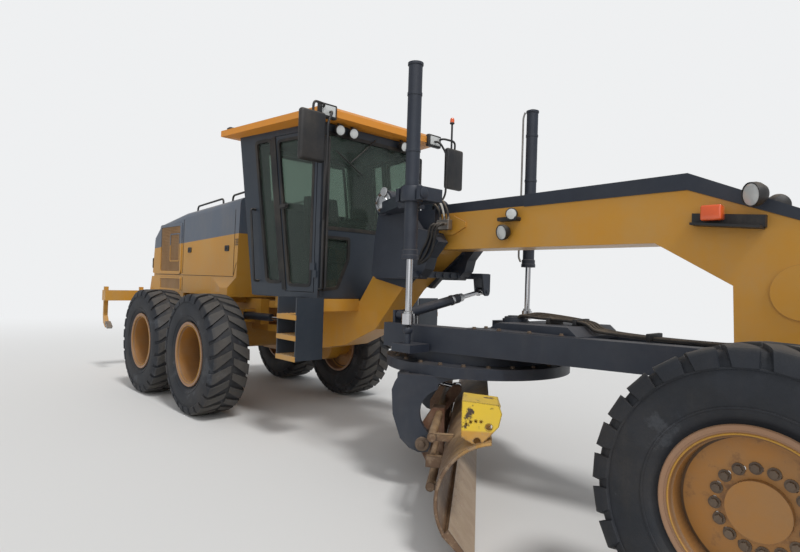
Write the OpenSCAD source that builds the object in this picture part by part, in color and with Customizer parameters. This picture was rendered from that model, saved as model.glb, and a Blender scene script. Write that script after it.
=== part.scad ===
// Motor grader, six driven wheels, in millimetres.
// +X points forward, +Y to the machine's left, +Z up. The ground is at z = 0.
// Every place is measured from the middle of the tandem, and the whole is then
// moved along X so that the origin lies under the middle of the machine.

/* [Wheels] */
// From the middle of the tandem to the front axle
wheelbase = 6160; // [5900:10:6300]
// Distance between the two wheels of one tandem
tandem_pitch = 1510; // [1480:10:1560]
// Track of the tandem wheels
rear_track = 2030; // [2000:10:2060]
// Track of the front wheels
front_track = 2080; // [2060:10:2140]
// Tyre diameter over the lugs
tyre_d = 1335; // [1300:5:1360]
// Tyre width
tyre_w = 445; // [420:5:460]
// Diameter over the rim flanges
rim_d = 711; // [690:1:720]
// Width over the rim flanges
rim_w = 400; // [380:5:410]
// Bolts of each wheel
wheel_bolts = 16; // [10:2:20]
// Bolt circle of each wheel
wheel_bolt_circle = 330; // [300:5:360]

/* [Frames] */
// Articulation axis ahead of the tandem's middle
hitch_x = 1400; // [1380:5:1420]
// Diameter of the articulation pins
hitch_pin_d = 90; // [70:5:110]
// Width of the front frame
neck_w = 300; // [260:10:320]
// Height of the front frame's underside
neck_z = 1825; // [1800:5:1850]
// Width over the rails of the rear frame
rear_frame_w = 840; // [800:10:880]
// Height of the rear frame's top
rear_frame_z = 1280; // [1260:5:1290]

/* [Hood] */
// Width of the hood
hood_w = 1270; // [1200:10:1300]
// Height of the hood's top at the cab
hood_z = 2480; // [2440:10:2520]
// Length of the grilles in the hood's sides
grille_len = 780; // [700:10:820]

/* [Cab] */
// Height over the cab roof
cab_h = 3185; // [3160:5:3220]
// Width of the cab at its front posts
cab_front_w = 1320; // [1280:10:1340]
// Front posts ahead of the tandem's middle
cab_front_x = 2380; // [2370:5:2390]
// Thickness of the cab walls and doors
cab_wall = 45; // [40:1:50]
// Thickness of the window panes
pane_t = 8; // [6:1:10]

/* [Blade] */
// Length of the blade
blade_len = 3660; // [3500:10:3700]
// Height of the blade with its cutting edge
blade_h = 670; // [640:5:690]
// Gap under the cutting edge as it stands
blade_gap = 25; // [15:5:40]
// Turn of the blade seen from above
blade_angle = 38.5; // [30:0.5:45]
// Blade's middle moved to the left along its rails
blade_shift = 90; // [60:5:120]
// Outer diameter of the circle
circle_d = 1520; // [1480:10:1540]
// Teeth of the circle
circle_teeth = 64; // [48:4:72]

/* [Cylinders] */
// Diameter of the lift cylinders' barrels
lift_barrel_d = 107; // [95:1:115]
// Diameter of the lift cylinders' rods
lift_rod_d = 50; // [44:1:58]
// Diameter of the other cylinders' barrels
small_barrel_d = 84; // [76:1:90]
// Diameter of the other cylinders' rods
small_rod_d = 42; // [36:1:50]

/* [Ripper] */
// Width of the ripper beam
ripper_w = 2240; // [2100:10:2300]
// Shanks on the ripper beam
ripper_shanks = 5; // [3:2:7]

/* [Hidden] */

$fn = 48;
tyre_r = tyre_d / 2;
pin_d = 40;
pin_gap = 0.5;
run_gap = 0.3;
seat_gap = 0.3;
side_gap = 6;
cut = 20;

paint = "goldenrod";
charcoal = "dimgray";
dark = "darkslategray";
steel = "silver";
black = "black";

// Ripper, at the rear end
link_foot = [-2120, 800];
link_head = [-2620, 1150];
link_rise = 300;
beam_x = link_head[0] - 130;
beam_d = 160;
shank_t = 60;
ripper_gap = small_barrel_d / 2 + side_gap;
ripper_foot = [-2110, 0, 1300];
ripper_head = [link_head[0] - 20, 0, 1400];
rear_end = beam_x - beam_d / 2 - 40;
front_end = wheelbase + tyre_r;
mid_x = (front_end + rear_end) / 2;

// Places of the moving pieces
ball_x = wheelbase - 260;
ball_z = 1100;
circle_x = ball_x - 2100;
circle_z = 890;
circle_t = 80;
lean_y = 600;
lean_z = 600;
lean_h = 330;
king_y = 740;
king_d = 60;
king_z = [tyre_r - 165, tyre_r + 115];
king_gap = 5;
fork_h = 45;
steer_arm = [170, 600];
steer_ball_d = 60;
lean_gap = 12;
steer_z = king_z[0] - king_gap - fork_h - lean_gap - steer_ball_d / 2;
steer_barrel_d = 70;
steer_foot = [wheelbase + 175, 80, steer_z];
steer_head = [wheelbase + steer_arm[0], steer_arm[1], steer_z];
lift_x = 3760;
lift_y = 787;
lift_pin_z = 2200;
lift_foot_z = 1257;

// A box from one corner to the other
module block(from, to) {
    translate(from) cube(to - from);
}

// An outline in X and Z, given its thickness between two places in Y
module side_plate(points, y_from, y_to) {
    translate([0, y_to, 0]) rotate([90, 0, 0]) linear_extrude(y_to - y_from) polygon(points);
}

// An outline in X and Y, between two heights
module flat_plate(points, z_from, z_to) {
    translate([0, 0, z_from]) linear_extrude(z_to - z_from) polygon(points);
}

// A round bar from one point to another
module bar(from, to, d) {
    run = to - from;
    flat = norm([run[0], run[1]]);
    translate(from)
        rotate([0, atan2(flat, run[2]), atan2(run[1], run[0])])
        cylinder(h = norm(run), d = d);
}

// A round bar along Y
module bar_y(x, z, d, y_from, y_to) {
    translate([x, y_from, z]) rotate([-90, 0, 0]) cylinder(h = y_to - y_from, d = d);
}

// A round bar along X
module bar_x(y, z, d, x_from, x_to) {
    translate([x_from, y, z]) rotate([0, 90, 0]) cylinder(h = x_to - x_from, d = d);
}

// A round bar along Z
module bar_z(x, y, d, z_from, z_to) {
    translate([x, y, z_from]) cylinder(h = z_to - z_from, d = d);
}

// The children and their mirror image on the other side
module both_sides() {
    children();
    mirror([0, 1, 0]) children();
}

// The children on the left (side = 1) or mirrored to the right (side = -1)
module on_side(side) {
    if (side > 0) children();
    else mirror([0, 1, 0]) children();
}

// From the tandem's middle to the machine's origin
module machine() {
    translate([-mid_x, 0, 0]) children();
}

// The children in the circle's frame: x to the blade's front, y along it, z up
module in_circle() {
    translate([circle_x, 0, 0]) rotate([0, 0, blade_angle]) children();
}

// Rear frame
rail_w = 110;
rail_h = 300;
rail_in = rear_frame_w / 2 - rail_w;
rail_z = rear_frame_z - rail_h;
frame_rear = -1990;
frame_front = 900;
ear_t = 80;
upper_ear_z = 1180;
lower_ear_z = 900;
hitch_foot = [700, 500, 1080];
hitch_head = [1500, 420, 1080];
hitch_eye_d = 110;
lug_t = 28;
hitch_lug_gap = small_barrel_d / 2 + side_gap;

module rear_frame() {
    ear_r = hitch_pin_d;
    color(paint) machine() difference() {
        union() {
            both_sides() {
                block([frame_rear, rail_in, rail_z], [frame_front, rail_in + rail_w, rear_frame_z]);
                // Ears of the articulation cylinder's foot
                for (z = [hitch_foot[2] - hitch_lug_gap - lug_t, hitch_foot[2] + hitch_lug_gap])
                    block([hitch_foot[0] - 70, rail_in + rail_w - 5, z],
                          [hitch_foot[0] + 70, hitch_foot[1] + 60, z + lug_t]);
            }
            // Outriggers under the hood's sides
            both_sides() for (x = [-1900, -1000, 400])
                block([x, rail_in + rail_w - 1, rear_frame_z - 60], [x + 140, hood_w / 2, hood_low - 0.3]);
            // Cross-members under the engine
            for (x = [frame_rear, -700, 500])
                block([x, -rail_in - 1, rail_z], [x + 120, rail_in + 1, rear_frame_z]);
            // Rear plate that carries the ripper
            block([-2040, -520, 700], [frame_rear + 1, 520, 1540]);
            // Ears that run forward to the articulation pins
            for (z = [upper_ear_z, lower_ear_z]) {
                flat_plate([[500, rail_in + 5], [frame_front, rail_in + 5], [hitch_x, ear_r],
                            [hitch_x, -ear_r], [frame_front, -rail_in - 5], [500, -rail_in - 5]],
                           z, z + ear_t);
                bar_z(hitch_x, 0, 2 * ear_r, z, z + ear_t);
            }
            block([500, -rail_in - 5, lower_ear_z], [620, rail_in + 5, rail_z + 5]);
            // Lugs of the ripper's links and cylinder
            for (y = [-420, 380])
                for (spot = [link_foot, link_foot + [0, link_rise]])
                    side_plate([[-2035, spot[1] - 70], [-2035, spot[1] + 70], [spot[0] - 50, spot[1] + 50],
                                [spot[0] - 50, spot[1] - 50]], y, y + 40);
            for (y = [-ripper_gap - 40, ripper_gap])
                side_plate([[-2035, ripper_foot[2] - 60], [-2035, ripper_foot[2] + 60],
                            [ripper_foot[0] - 40, ripper_foot[2] + 40],
                            [ripper_foot[0] - 40, ripper_foot[2] - 40]], y, y + 40);
            bar_y(ripper_foot[0], ripper_foot[2], pin_d, -ripper_gap - 5, ripper_gap + 5);
            both_sides() {
                for (spot = [link_foot, link_foot + [0, link_rise]])
                    bar_y(spot[0], spot[1], pin_d, 330, 415);
                bar_z(hitch_foot[0], hitch_foot[1], pin_d, hitch_foot[2] - hitch_lug_gap - 5,
                      hitch_foot[2] + hitch_lug_gap + 5);
            }
        }
        for (z = [upper_ear_z, lower_ear_z])
            bar_z(hitch_x, 0, hitch_pin_d + 2 * pin_gap, z - cut, z + ear_t + cut);
    }
}

module engine_block() {
    color(black) machine() block([-900, -330, rear_frame_z + 0.3], [420, 330, 2150]);
}

// Hood: a shell over the engine with an opening in each side behind the grille
hood_t = 12;
hood_front = 680;
hood_rear = -1980;
hood_low = rear_frame_z + 10;
hood_seam = 1545;
hood_flare = 110;
hood_round = [[80, 0], [40, 10], [14, 36], [0, 80]];
grille_rear = -1730;
grille_low = 1550;
grille_high = 2250;
slats = 8;

module hood() {
    inner = [[hood_rear + hood_t, hood_low - cut], [hood_rear + hood_t, 1558],
        [hood_rear + hood_t - 59, 1572],
             [hood_rear + hood_t - 40, 2035], [-1775 + 4, 2200], [-870, 2315],
             [hood_front - hood_t, hood_z - 88], [hood_front - hood_t, hood_low - cut]];
    color(paint) machine() {
        difference() {
            union() {
                side_plate([[hood_rear, hood_low], [hood_rear, hood_seam + 20],
                    [hood_front, hood_seam + 20],
                            [hood_front, hood_low]], -hood_w / 2, hood_w / 2);
                // The top's long edges are rounded in steps
                hull()
                    for (step = hood_round)
                        side_plate([[hood_rear, hood_seam], [hood_rear - 60, hood_seam + 15],
                                    [hood_rear - 40 + step[0] / 2, 2120 - step[0]],
                                        [-1775, 2285 - step[0]],
                                    [-870, 2400 - step[0]], [hood_front + 50, hood_z - step[0]],
                                    [hood_front, hood_seam]],
                                   -hood_w / 2 + step[1], hood_w / 2 - step[1]);
                // The lower side flares out towards the cab
                both_sides() hull() {
                    block([0, hood_w / 2 - 40, hood_low], [hood_front, hood_w / 2 - 2, hood_seam - 15]);
                    block([480, hood_w / 2, hood_low], [hood_front, hood_w / 2 + hood_flare, 1400]);
                }
            }
            side_plate(inner, -hood_w / 2 + hood_t, hood_w / 2 - hood_t);
            both_sides()
                block([grille_rear, hood_w / 2 - hood_t - cut, grille_low],
                      [grille_rear + grille_len, hood_w / 2 + cut, grille_high]);
        }
        // Slats of the side grilles
        pitch = (grille_high - grille_low) / slats;
        both_sides()
            for (i = [0 : slats - 1])
                side_plate([[grille_rear - 1, grille_low + i * pitch + 10],
                            [grille_rear + grille_len + 1, grille_low + i * pitch + 10],
                            [grille_rear + grille_len + 1, grille_low + i * pitch + 45],
                            [grille_rear - 1, grille_low + i * pitch + 45]],
                           hood_w / 2 - hood_t, hood_w / 2);
    }
}

// Rear axle with the two tandem cases
case_in = 600;
case_w = 165;
case_r = 215;
spindle_d = 300;

module rear_axle() {
    color(paint) machine() {
        bar_y(0, tyre_r + 90, 300, -case_in - 10, case_in + 10);
        block([-210, -380, tyre_r + 100], [210, 380, rail_z - 0.3]);
        both_sides() {
            side_plate([[-tandem_pitch / 2, tyre_r - case_r + 30],
                [tandem_pitch / 2, tyre_r - case_r + 30],
                        [tandem_pitch / 2, tyre_r + case_r - 30], [160, tyre_r + case_r + 40],
                        [-160, tyre_r + case_r + 40], [-tandem_pitch / 2, tyre_r + case_r - 30]],
                       case_in, case_in + case_w);
            for (x = [-tandem_pitch / 2, tandem_pitch / 2]) {
                bar_y(x, tyre_r, 2 * case_r - 60, case_in, case_in + case_w);
                bar_y(x, tyre_r, spindle_d, case_in + case_w - 1, rear_track / 2 + rear_disc - seat_gap);
            }
        }
    }
}

// Wheels: the outline of each is turned about its own axle
disc_t = 24;
front_disc = 60;
rear_disc = -90;
bead_t = 26;

// Tyre, with the axle along Y, from the inner bead over the tread to the outer one
module tyre(x, y, side) {
    half = tyre_w / 2;
    tread = half - 30;
    rim_r = rim_d / 2;
    seat = rim_r - 12;
    color(black) machine() translate([x, y * side, tyre_r]) rotate([-90, 0, 0])
        rotate_extrude() polygon([
            [seat + pin_gap, -rim_w / 2 + bead_t], [rim_r + 12, -rim_w / 2 + bead_t],
            [rim_r + 60, -half + 8], [rim_r + 150, -half], [tyre_r - 70, -half + 6], [tyre_r, -tread],
            [tyre_r, tread], [tyre_r - 70, half - 6], [rim_r + 150, half], [rim_r + 60, half - 8],
            [rim_r + 12, rim_w / 2 - bead_t], [seat + pin_gap, rim_w / 2 - bead_t]]);
}

// Rim with its disc, the disc's place counted outwards from the rim's middle
module rim(x, y, side, disc, hub_len) {
    rim_r = rim_d / 2;
    seat = rim_r - 12;
    well = 14;
    color("peru") machine() translate([x, y * side, tyre_r]) rotate([-90 * side, 0, 0]) difference() {
        rotate_extrude() polygon([
            [seat - well, -rim_w / 2 + 2], [rim_r - 4, -rim_w / 2], [rim_r, -rim_w / 2 + 6],
            [rim_r - 4, -rim_w / 2 + bead_t - 4], [seat, -rim_w / 2 + bead_t - 2],
            [seat, rim_w / 2 - bead_t + 2], [rim_r - 4, rim_w / 2 - bead_t + 4], [rim_r, rim_w / 2 - 6],
            [rim_r - 4, rim_w / 2], [seat - well, rim_w / 2 - 2], [seat - well, disc + 30],
            [hub_d / 2 + 60, disc + disc_t], [hub_d / 2, disc + disc_t],
                [hub_d / 2, disc + disc_t + hub_len],
            [0, disc + disc_t + hub_len], [0, disc], [hub_d / 2 + 60, disc], [seat - well, disc - 10]]);
        for (i = [0 : wheel_bolts - 1])
            rotate([0, 0, i * 360 / wheel_bolts]) translate([wheel_bolt_circle / 2, 0, disc - cut])
                cylinder(h = disc_t + 2 * cut, d = 23);
    }
}

hub_d = 240;
front_hub = 30;
rear_hub = 20;

// Front frame: hitch ears, throat, gooseneck and nose in one side outline
nose_x = wheelbase + 310;
nose_low = 985;
pocket_x = ball_x + 130;
pocket_z = ball_z + 150;
neck_top = 2135;
neck_outline = [
    [hitch_x + 120, 780], [1640, 760], [2180, 860], [2650, 1060], [2920, 1360], [3010, 1460],
    [3480, neck_z], [5320, neck_z + 5], [5768, 1573], [5780, pocket_z], [pocket_x, pocket_z],
    [pocket_x, nose_low], [nose_x, nose_low], [nose_x, 1780],
    [6073, 1934], [5508, neck_top + 14], [3150, neck_top], [2900, 2050], [2640, 1640], [2400, 1330],
    [1570, 1325], [hitch_x + 120, 1325]];
deck_z = 1347;
nose_cap_d = 300;
push_y = 105;
push_z = [1080, 1230, 1380, 1530];
push_d = 26;
push_depth = 45;

module front_frame() {
    half = neck_w / 2;
    gap = 4;
    color(paint) machine() {
        difference() {
            union() {
                side_plate(neck_outline, -half, half);
                // Arched floor brackets under the cab
                both_sides() side_plate([[1520, 1225], [2380, 1225], [2380, deck_z - 0.3],
                                         [1520, deck_z - 0.3]], half - 1, 600);
                // Side ears for the articulation cylinders
                both_sides() for (z = [hitch_head[2] - hitch_lug_gap - lug_t,
                    hitch_head[2] + hitch_lug_gap])
                    flat_plate([[1540, half - 1], [1680, half - 1], [1570, hitch_head[1] + 50],
                                [hitch_head[0] - 45, hitch_head[1] + 50],
                                [hitch_head[0] - 45, hitch_head[1] - 50]], z, z + lug_t);
                // Boss plates for the saddle's lock
                both_sides() side_plate([[3560, 1950], [3560, 2110], [3640, 2110], [3770, 2050],
                    [3770, 2010],
                                         [3640, 1950]], half - 1, half + 14);
                // Round caps on the nose, and the pin and foot of the drawbar's swivel
                bar_y(6100, 1545, nose_cap_d, -half - 12, half + 12);
                bar_z(ball_x, 0, 60, nose_low, pocket_z + 5);
                block([ball_x - 40, -60, nose_low - 10], [pocket_x + 10, 60, nose_low + 15]);
            }
            // Bolt holes for a push plate in the nose
            for (y = [-push_y, push_y], z = push_z)
                bar_x(y, z, push_d, nose_x - push_depth, nose_x + cut);
            // Room for the rear frame's ears
            for (z = [upper_ear_z, lower_ear_z])
                block([hitch_x - 300, -half - cut, z - gap], [hitch_x + 130, half + cut, z + ear_t + gap]);
        }
        // Articulation pins with their outer ears
        for (z = [upper_ear_z, lower_ear_z]) {
            bar_z(hitch_x, 0, hitch_pin_d, z - gap - 1, z + ear_t + gap + 1);
        }
        for (span = [[upper_ear_z + ear_t + gap, 1325], [lower_ear_z + ear_t + gap, upper_ear_z - gap],
                     [780, lower_ear_z - gap]]) {
            bar_z(hitch_x, 0, 170, span[0], span[1]);
            block([hitch_x, -85, span[0]], [hitch_x + 135, 85, span[1]]);
        }
    }
}

module frame_cover() {
    half = neck_w / 2 + 8;
    color(charcoal) machine() {
        difference() {
            side_plate([[4340, 2136], [5508, 2150], [6073, 1935], [nose_x, 1784], [nose_x, 1846],
                        [6073, 1999], [5508, 2252], [4340, 2230]], -half, half);
            side_plate([[4300, 1700], [4300, neck_top + 7.5], [5508, neck_top + 14.5], [6073, 1934.6],
                        [nose_x + cut, 1777]], -neck_w / 2 - 1, neck_w / 2 + 1);
        }
        side_plate([[3470, neck_top + 3], [4345, neck_top + 8], [4345, 2226], [3470, 2215]],
                   -neck_w / 2, neck_w / 2);
    }
}

// Saddle with the arms that hold the lift cylinders and the shift cylinder
arm_w = 120;
trunnion_d = 56;
shift_gap = small_barrel_d / 2 + side_gap;
shift_foot = [3480, -580, 1265];
shift_head = [3480, 455, 1470];

module saddle() {
    cheek = neck_w / 2 + 55;
    head = [2985, 2250];
    head_d = 230;
    color(charcoal) machine() {
        difference() {
            side_plate([[2690, 1560], [3100, 1480], [3460, 1800], [3460, 2175], [2990, 2175],
                [2840, 2100]],
                       -cheek, cheek);
            side_plate([[2500, 1200], [2637, 1643], [2897, 2053], [3150, neck_top + 2],
                        [3700, neck_top + 3], [3700, 1400], [2950, 1200]],
                       -neck_w / 2 - seat_gap, neck_w / 2 + seat_gap);
        }
        difference() {
            both_sides() {
                // Arm beside the neck with its round head
                side_plate([[2770, 1590], [2840, 1565], [3380, 1565], [3470, 1650], [3500, 1750],
                    [3620, 1880],
                            [3560, 1960], [3330, 2010], [3110, 2250], [2860, 2250], [2800, 1900]],
                           cheek - 1, cheek + arm_w);
                bar_y(head[0], head[1], head_d, cheek + 10, cheek + arm_w + 60);
                // Beam out to the lift cylinder, with its clamp and the clamp's pin
                flat_plate([[2880, cheek + 20], [3100, cheek + 20], [3660, lift_y - 200],
                    [3660, lift_y - 120],
                            [3530, lift_y - 120], [2880, cheek + arm_w + 40]], 2150, 2250);
                side_plate([[3480, 2130], [3640, 2130], [3640, 2300], [3590, 2335], [3480, 2290]],
                           lift_y - 262, lift_y - 124);
                bar_y(3560, 2225, 90, lift_y - 275, lift_y - 100);
                // Fork that holds the cylinder's collar by its two trunnions
                for (x = [lift_x - 130, lift_x + 95])
                    block([x, lift_y - 200, 2150], [x + 35, lift_y + 45, 2250]);
                block([lift_x - 130, lift_y - 200, 2150], [lift_x + 130, lift_y - 125, 2250]);
            }
            both_sides() bar_x(lift_y, lift_pin_z, trunnion_d + 2 * pin_gap, lift_x - 200, lift_x + 200);
        }
        // Crossbar under the neck, with its lock pins and the plate over the shift cylinder's eye
        block([3240, -420, 1580], [3400, 420, 1635]);
        for (y = [-300 : 100 : 300])
            bar_x(y, 1605, 44, 3235, 3412);
        block([3390, 380, 1592], [shift_head[0] + 40, 500, 1635]);
    }
}

// Cab. Each side wall stands at an angle to the machine and has its own frame:
// x runs back along the wall from the front post, y inwards and z up.
cab_lean = 9.65;
cab_low = deck_z + 8;
cab_ceiling = 3050;
post_w = 60;
rear_post_w = 250;

// Distance back along a side wall at a height, for a line given at its foot and head
function along(foot, head, z) = foot + (head - foot) * (z - cab_low) / (cab_ceiling - cab_low);
wall_foot = 974;
wall_head = 1263;
door_foot = 450;
door_head = 712;
door_gap = 6;

module in_wall(side) {
    on_side(side) translate([cab_front_x, cab_front_w / 2, 0]) rotate([0, 0, 180 - cab_lean]) children();
}

// A panel in the side wall between two heights and two slanting lines
module wall_panel(front, foot, head, z_from, z_to, t_from, t_to) {
    translate([0, t_to, 0]) rotate([90, 0, 0]) linear_extrude(t_to - t_from)
        polygon([[front, z_from], [along(foot, head, z_from), z_from],
                 [along(foot, head, z_to), z_to], [front, z_to]]);
}

module side_frame() {
    difference() {
        wall_panel(0, wall_foot, wall_head, cab_low, cab_ceiling, 0, cab_wall);
        // Doorway
        translate([0, -cut, 0]) wall_panel(post_w - 10, door_foot, door_head, cab_low + 50,
            cab_ceiling - 60,
                                           0, cab_wall + 2 * cut);
        // Window behind the door
        translate([0, -cut, 0]) rotate([90, 0, 0]) translate([0, 0, -cab_wall - 2 * cut])
            linear_extrude(cab_wall + 2 * cut) polygon([
                [along(door_foot, door_head, 1490) + 50, 1490],
                [along(wall_foot, wall_head, 1490) - rear_post_w, 1490],
                [along(wall_foot, wall_head, 2970) - rear_post_w, 2970],
                [along(door_foot, door_head, 2970) + 50, 2970]]);
    }
}

cab_half = cab_front_w / 2;
rear_half = cab_half + wall_foot * sin(cab_lean);
top_half = cab_half + wall_head * sin(cab_lean);
rear_foot_x = cab_front_x - wall_foot * cos(cab_lean);
rear_head_x = cab_front_x - wall_head * cos(cab_lean);
sill_z = 1990;
step_x = 2135;
step_len = 330;

// The cab's outline from above, as far back as a place, with its edges drawn in
function cab_plan(rear, half, edge) = [
    [cab_front_x - edge, cab_half - edge], [cab_front_x - edge, -cab_half + edge],
    [rear + edge, -half + edge], [rear + edge, half - edge]];

module cab_shell() {
    color(dark) machine() {
        // Floor and ceiling
        flat_plate(cab_plan(rear_foot_x, rear_half, 10), deck_z, cab_low + 40);
        flat_plate(cab_plan(rear_head_x, top_half, 10), cab_ceiling - 50, cab_ceiling - 3);
        for (side = [1, -1])
            in_wall(side) {
                side_frame();
                // Hinges of the door on the front post
                for (z = hinge_z) {
                    bar_z(hinge_spot[0], hinge_spot[1], hinge_d, z - hinge_h, z - 2);
                    bar_z(hinge_spot[0], hinge_spot[1], hinge_pin_d, z - 10, z + hinge_h);
                    block([10, hinge_spot[1] - 8, z - hinge_h], [hinge_spot[0], 1, z - 2]);
                }
            }
        // Front wall with the windscreen and the two lower windows
        difference() {
            block([cab_front_x - cab_wall, -cab_half + 5, cab_low + 3],
                  [cab_front_x - 4, cab_half - 5, cab_ceiling - 6]);
            block([cab_front_x - cab_wall - cut, -cab_half + 50, sill_z + 40],
                  [cab_front_x + cut, cab_half - 50, cab_ceiling - 90]);
            both_sides() translate([cab_front_x - cab_wall - cut, 0, 0]) rotate([90, 0, 90])
                linear_extrude(cab_wall + 2 * cut)
                polygon([[cab_half - 50, sill_z - 40], [290, sill_z - 40], [290, 1740], [420, 1450],
                         [cab_half - 50, 1430]]);
        }
        // Rear wall with its window
        difference() {
            intersection() {
                side_plate([[rear_foot_x + 10, cab_low + 5], [rear_foot_x + 60, cab_low + 5],
                            [rear_head_x + 60, cab_ceiling - 9], [rear_head_x + 10, cab_ceiling - 9]],
                           -top_half, top_half);
                flat_plate(cab_plan(rear_head_x, top_half, 14), cab_low, cab_ceiling);
            }
            side_plate([[rear_foot_x - 300, 2300], [rear_foot_x + 100, 2300], [rear_foot_x + 100, 2940],
                        [rear_foot_x - 300, 2940]], -560, 560);
        }
        // Seat and steering console, on the floor
        hull() {
            block([1500, -240, 1760], [1980, 240, 1860]);
            block([1560, -200, 1700], [1900, 200, 1760]);
        }
        hull() {
            block([1470, -230, 1850], [1580, 230, 1900]);
            block([1400, -200, 2420], [1480, 200, 2470]);
        }
        block([1600, -130, cab_low], [1860, 130, 1710]);
        side_plate([[2180, cab_low], [2336, cab_low], [2336, 1940], [2240, 1990],
            [2170, 1960]], -110, 110);
        bar([2210, 0, 1960], [2080, 0, 2060], 40);
        // Steps
        both_sides() {
            for (x = [step_x, step_x + step_len - 15])
                side_plate([[x, 780], [x + 15, 780], [x + 15, cab_low + 5], [x, cab_low + 5]], 640, 940);
            for (z = [780, 970, 1160])
                block([step_x, 690, z], [step_x + step_len, 940, z + 30]);
        }
    }
}

module cab_roof() {
    low = cab_ceiling + 0.3;
    color("darkorange") machine() hull() {
        flat_plate([[cab_front_x + 140, 800], [cab_front_x + 140, -800], [930, -1000], [930, 1000]],
                   low + 20, cab_h - 50);
        flat_plate([[cab_front_x + 60, 700], [cab_front_x + 60, -700], [1100, -860], [1100, 860]],
                   low, cab_h);
    }
}

module cab_glass() {
    mid = cab_wall / 2 - pane_t / 2;
    color("cadetblue") machine() {
        block([cab_front_x - mid - pane_t, -cab_half + 50.3, sill_z + 40.3],
              [cab_front_x - mid, cab_half - 50.3, cab_ceiling - 90.3]);
        both_sides() translate([cab_front_x - mid - pane_t, 0, 0]) rotate([90, 0,
            90]) linear_extrude(pane_t)
            polygon([[cab_half - 50.3, sill_z - 40.3], [290.3, sill_z - 40.3], [290.3, 1740],
                [420.3, 1450.5],
                     [cab_half - 50.3, 1430.5]]);
        for (side = [1, -1])
            in_wall(side) translate([0, mid + pane_t, 0]) rotate([90, 0,
                0]) linear_extrude(pane_t) polygon([
                [along(door_foot, door_head, 1490) + 50.4, 1490.3],
                [along(wall_foot, wall_head, 1490) - rear_post_w - 0.4, 1490.3],
                [along(wall_foot, wall_head, 2970) - rear_post_w - 0.4, 2969.7],
                [along(door_foot, door_head, 2970) + 50.4, 2969.7]]);
        slope = (rear_head_x - rear_foot_x) / (cab_ceiling - cab_low);
        side_plate([[rear_foot_x + 30 + slope * (2300.3 - cab_low), 2300.3],
                    [rear_foot_x + 30 + pane_t + slope * (2300.3 - cab_low), 2300.3],
                    [rear_foot_x + 30 + pane_t + slope * (2939.7 - cab_low), 2939.7],
                    [rear_foot_x + 30 + slope * (2939.7 - cab_low), 2939.7]], -559.7, 559.7);
    }
}

// Doors hang on the front posts, each by two hinges outside the wall
hinge_spot = [45, -12];
hinge_d = 20;
hinge_h = 70;
hinge_pin_d = 12;
hinge_z = [1620, 2760];

module door(side) {
    color(dark) machine() in_wall(side) difference() {
        union() {
            difference() {
                wall_panel(post_w, door_foot - door_gap, door_head - door_gap, cab_low + 56,
                           cab_ceiling - 66, 0, cab_wall);
                translate([0, -cut, 0])
                    wall_panel(post_w + 40, door_foot - door_gap - 45, door_head - door_gap - 45,
                               cab_low + 110, cab_ceiling - 110, 0, cab_wall + 2 * cut);
            }
            for (z = hinge_z) {
                bar_z(hinge_spot[0], hinge_spot[1], hinge_d, z, z + hinge_h);
                block([hinge_spot[0], hinge_spot[1] - 8, z],
                    [post_w + 35, hinge_spot[1] + 8, z + hinge_h]);
                block([post_w + 4, hinge_spot[1] - 8, z], [post_w + 35, 1, z + hinge_h]);
            }
        }
        for (z = hinge_z)
            bar_z(hinge_spot[0], hinge_spot[1], hinge_pin_d + 2 * pin_gap, z - cut, z + hinge_h + cut);
    }
}

module door_glass(side) {
    mid = cab_wall / 2 - pane_t / 2;
    color("cadetblue") machine() in_wall(side)
        wall_panel(post_w + 40.3, door_foot - door_gap - 45.3, door_head - door_gap - 45.3,
                   cab_low + 110.3, cab_ceiling - 110.3, mid, mid + pane_t);
}

tube_d = 22;

module lamps_mirrors() {
    color(black) machine() {
        // Mirrors on tube loops from the roof's front corners
        both_sides() {
            block([cab_front_x + 140 + seat_gap, 762, cab_ceiling + 42],
                [cab_front_x + 164, 798, cab_ceiling + 78]);
            bar([cab_front_x + 152, 780, cab_ceiling + 60], [2632, 900, 3020], tube_d);
            block([2600, 815, 2580], [2665, 1085, 3035]);
        }
        // Work lights under the roof's front edge
        both_sides() for (y = [330, 560])
            translate([cab_front_x - 4 + seat_gap, y, 2990]) rotate([0, 90, 0]) cylinder(h = 80, d = 110);
        // Beacon on a thin post over the left mirror
        bar_z(2632, 905, tube_d, 3020, 3330);
        bar_z(2632, 905, 54, 3310, 3385);
        // Lamp brackets on the neck's sides
        both_sides() {
            side_plate([[5550, 1925], [5930, 1890], [5930, 1968], [5550, 2000]],
                       neck_w / 2 + seat_gap, 250);
            bar([5925, 205, 2082], [5874, 273, 2072], 136);
            block([5900, 180, 1960], [5930, 230, 2060]);
            block([5617, 190, 1940], [5730, 262, 2035]);
            block([4130, neck_w / 2 + seat_gap, 2020], [4310, 215, 2060]);
            bar([4205, 173, 1952], [4188, 232, 1939], 120);
            block([4180, neck_w / 2 + seat_gap, 1960], [4210, 190, 2030]);
        }
    }
}

// Front axle: an arched beam on the nose, with a fork at each end for the leaning head
fork_t = 40;
head_len = 150;

lean_bar_x = wheelbase - 165;
lean_rod_z = lean_z + lean_h - 85;
steer_lug = 28;
steer_gap = steer_barrel_d / 2 + side_gap;

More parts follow.
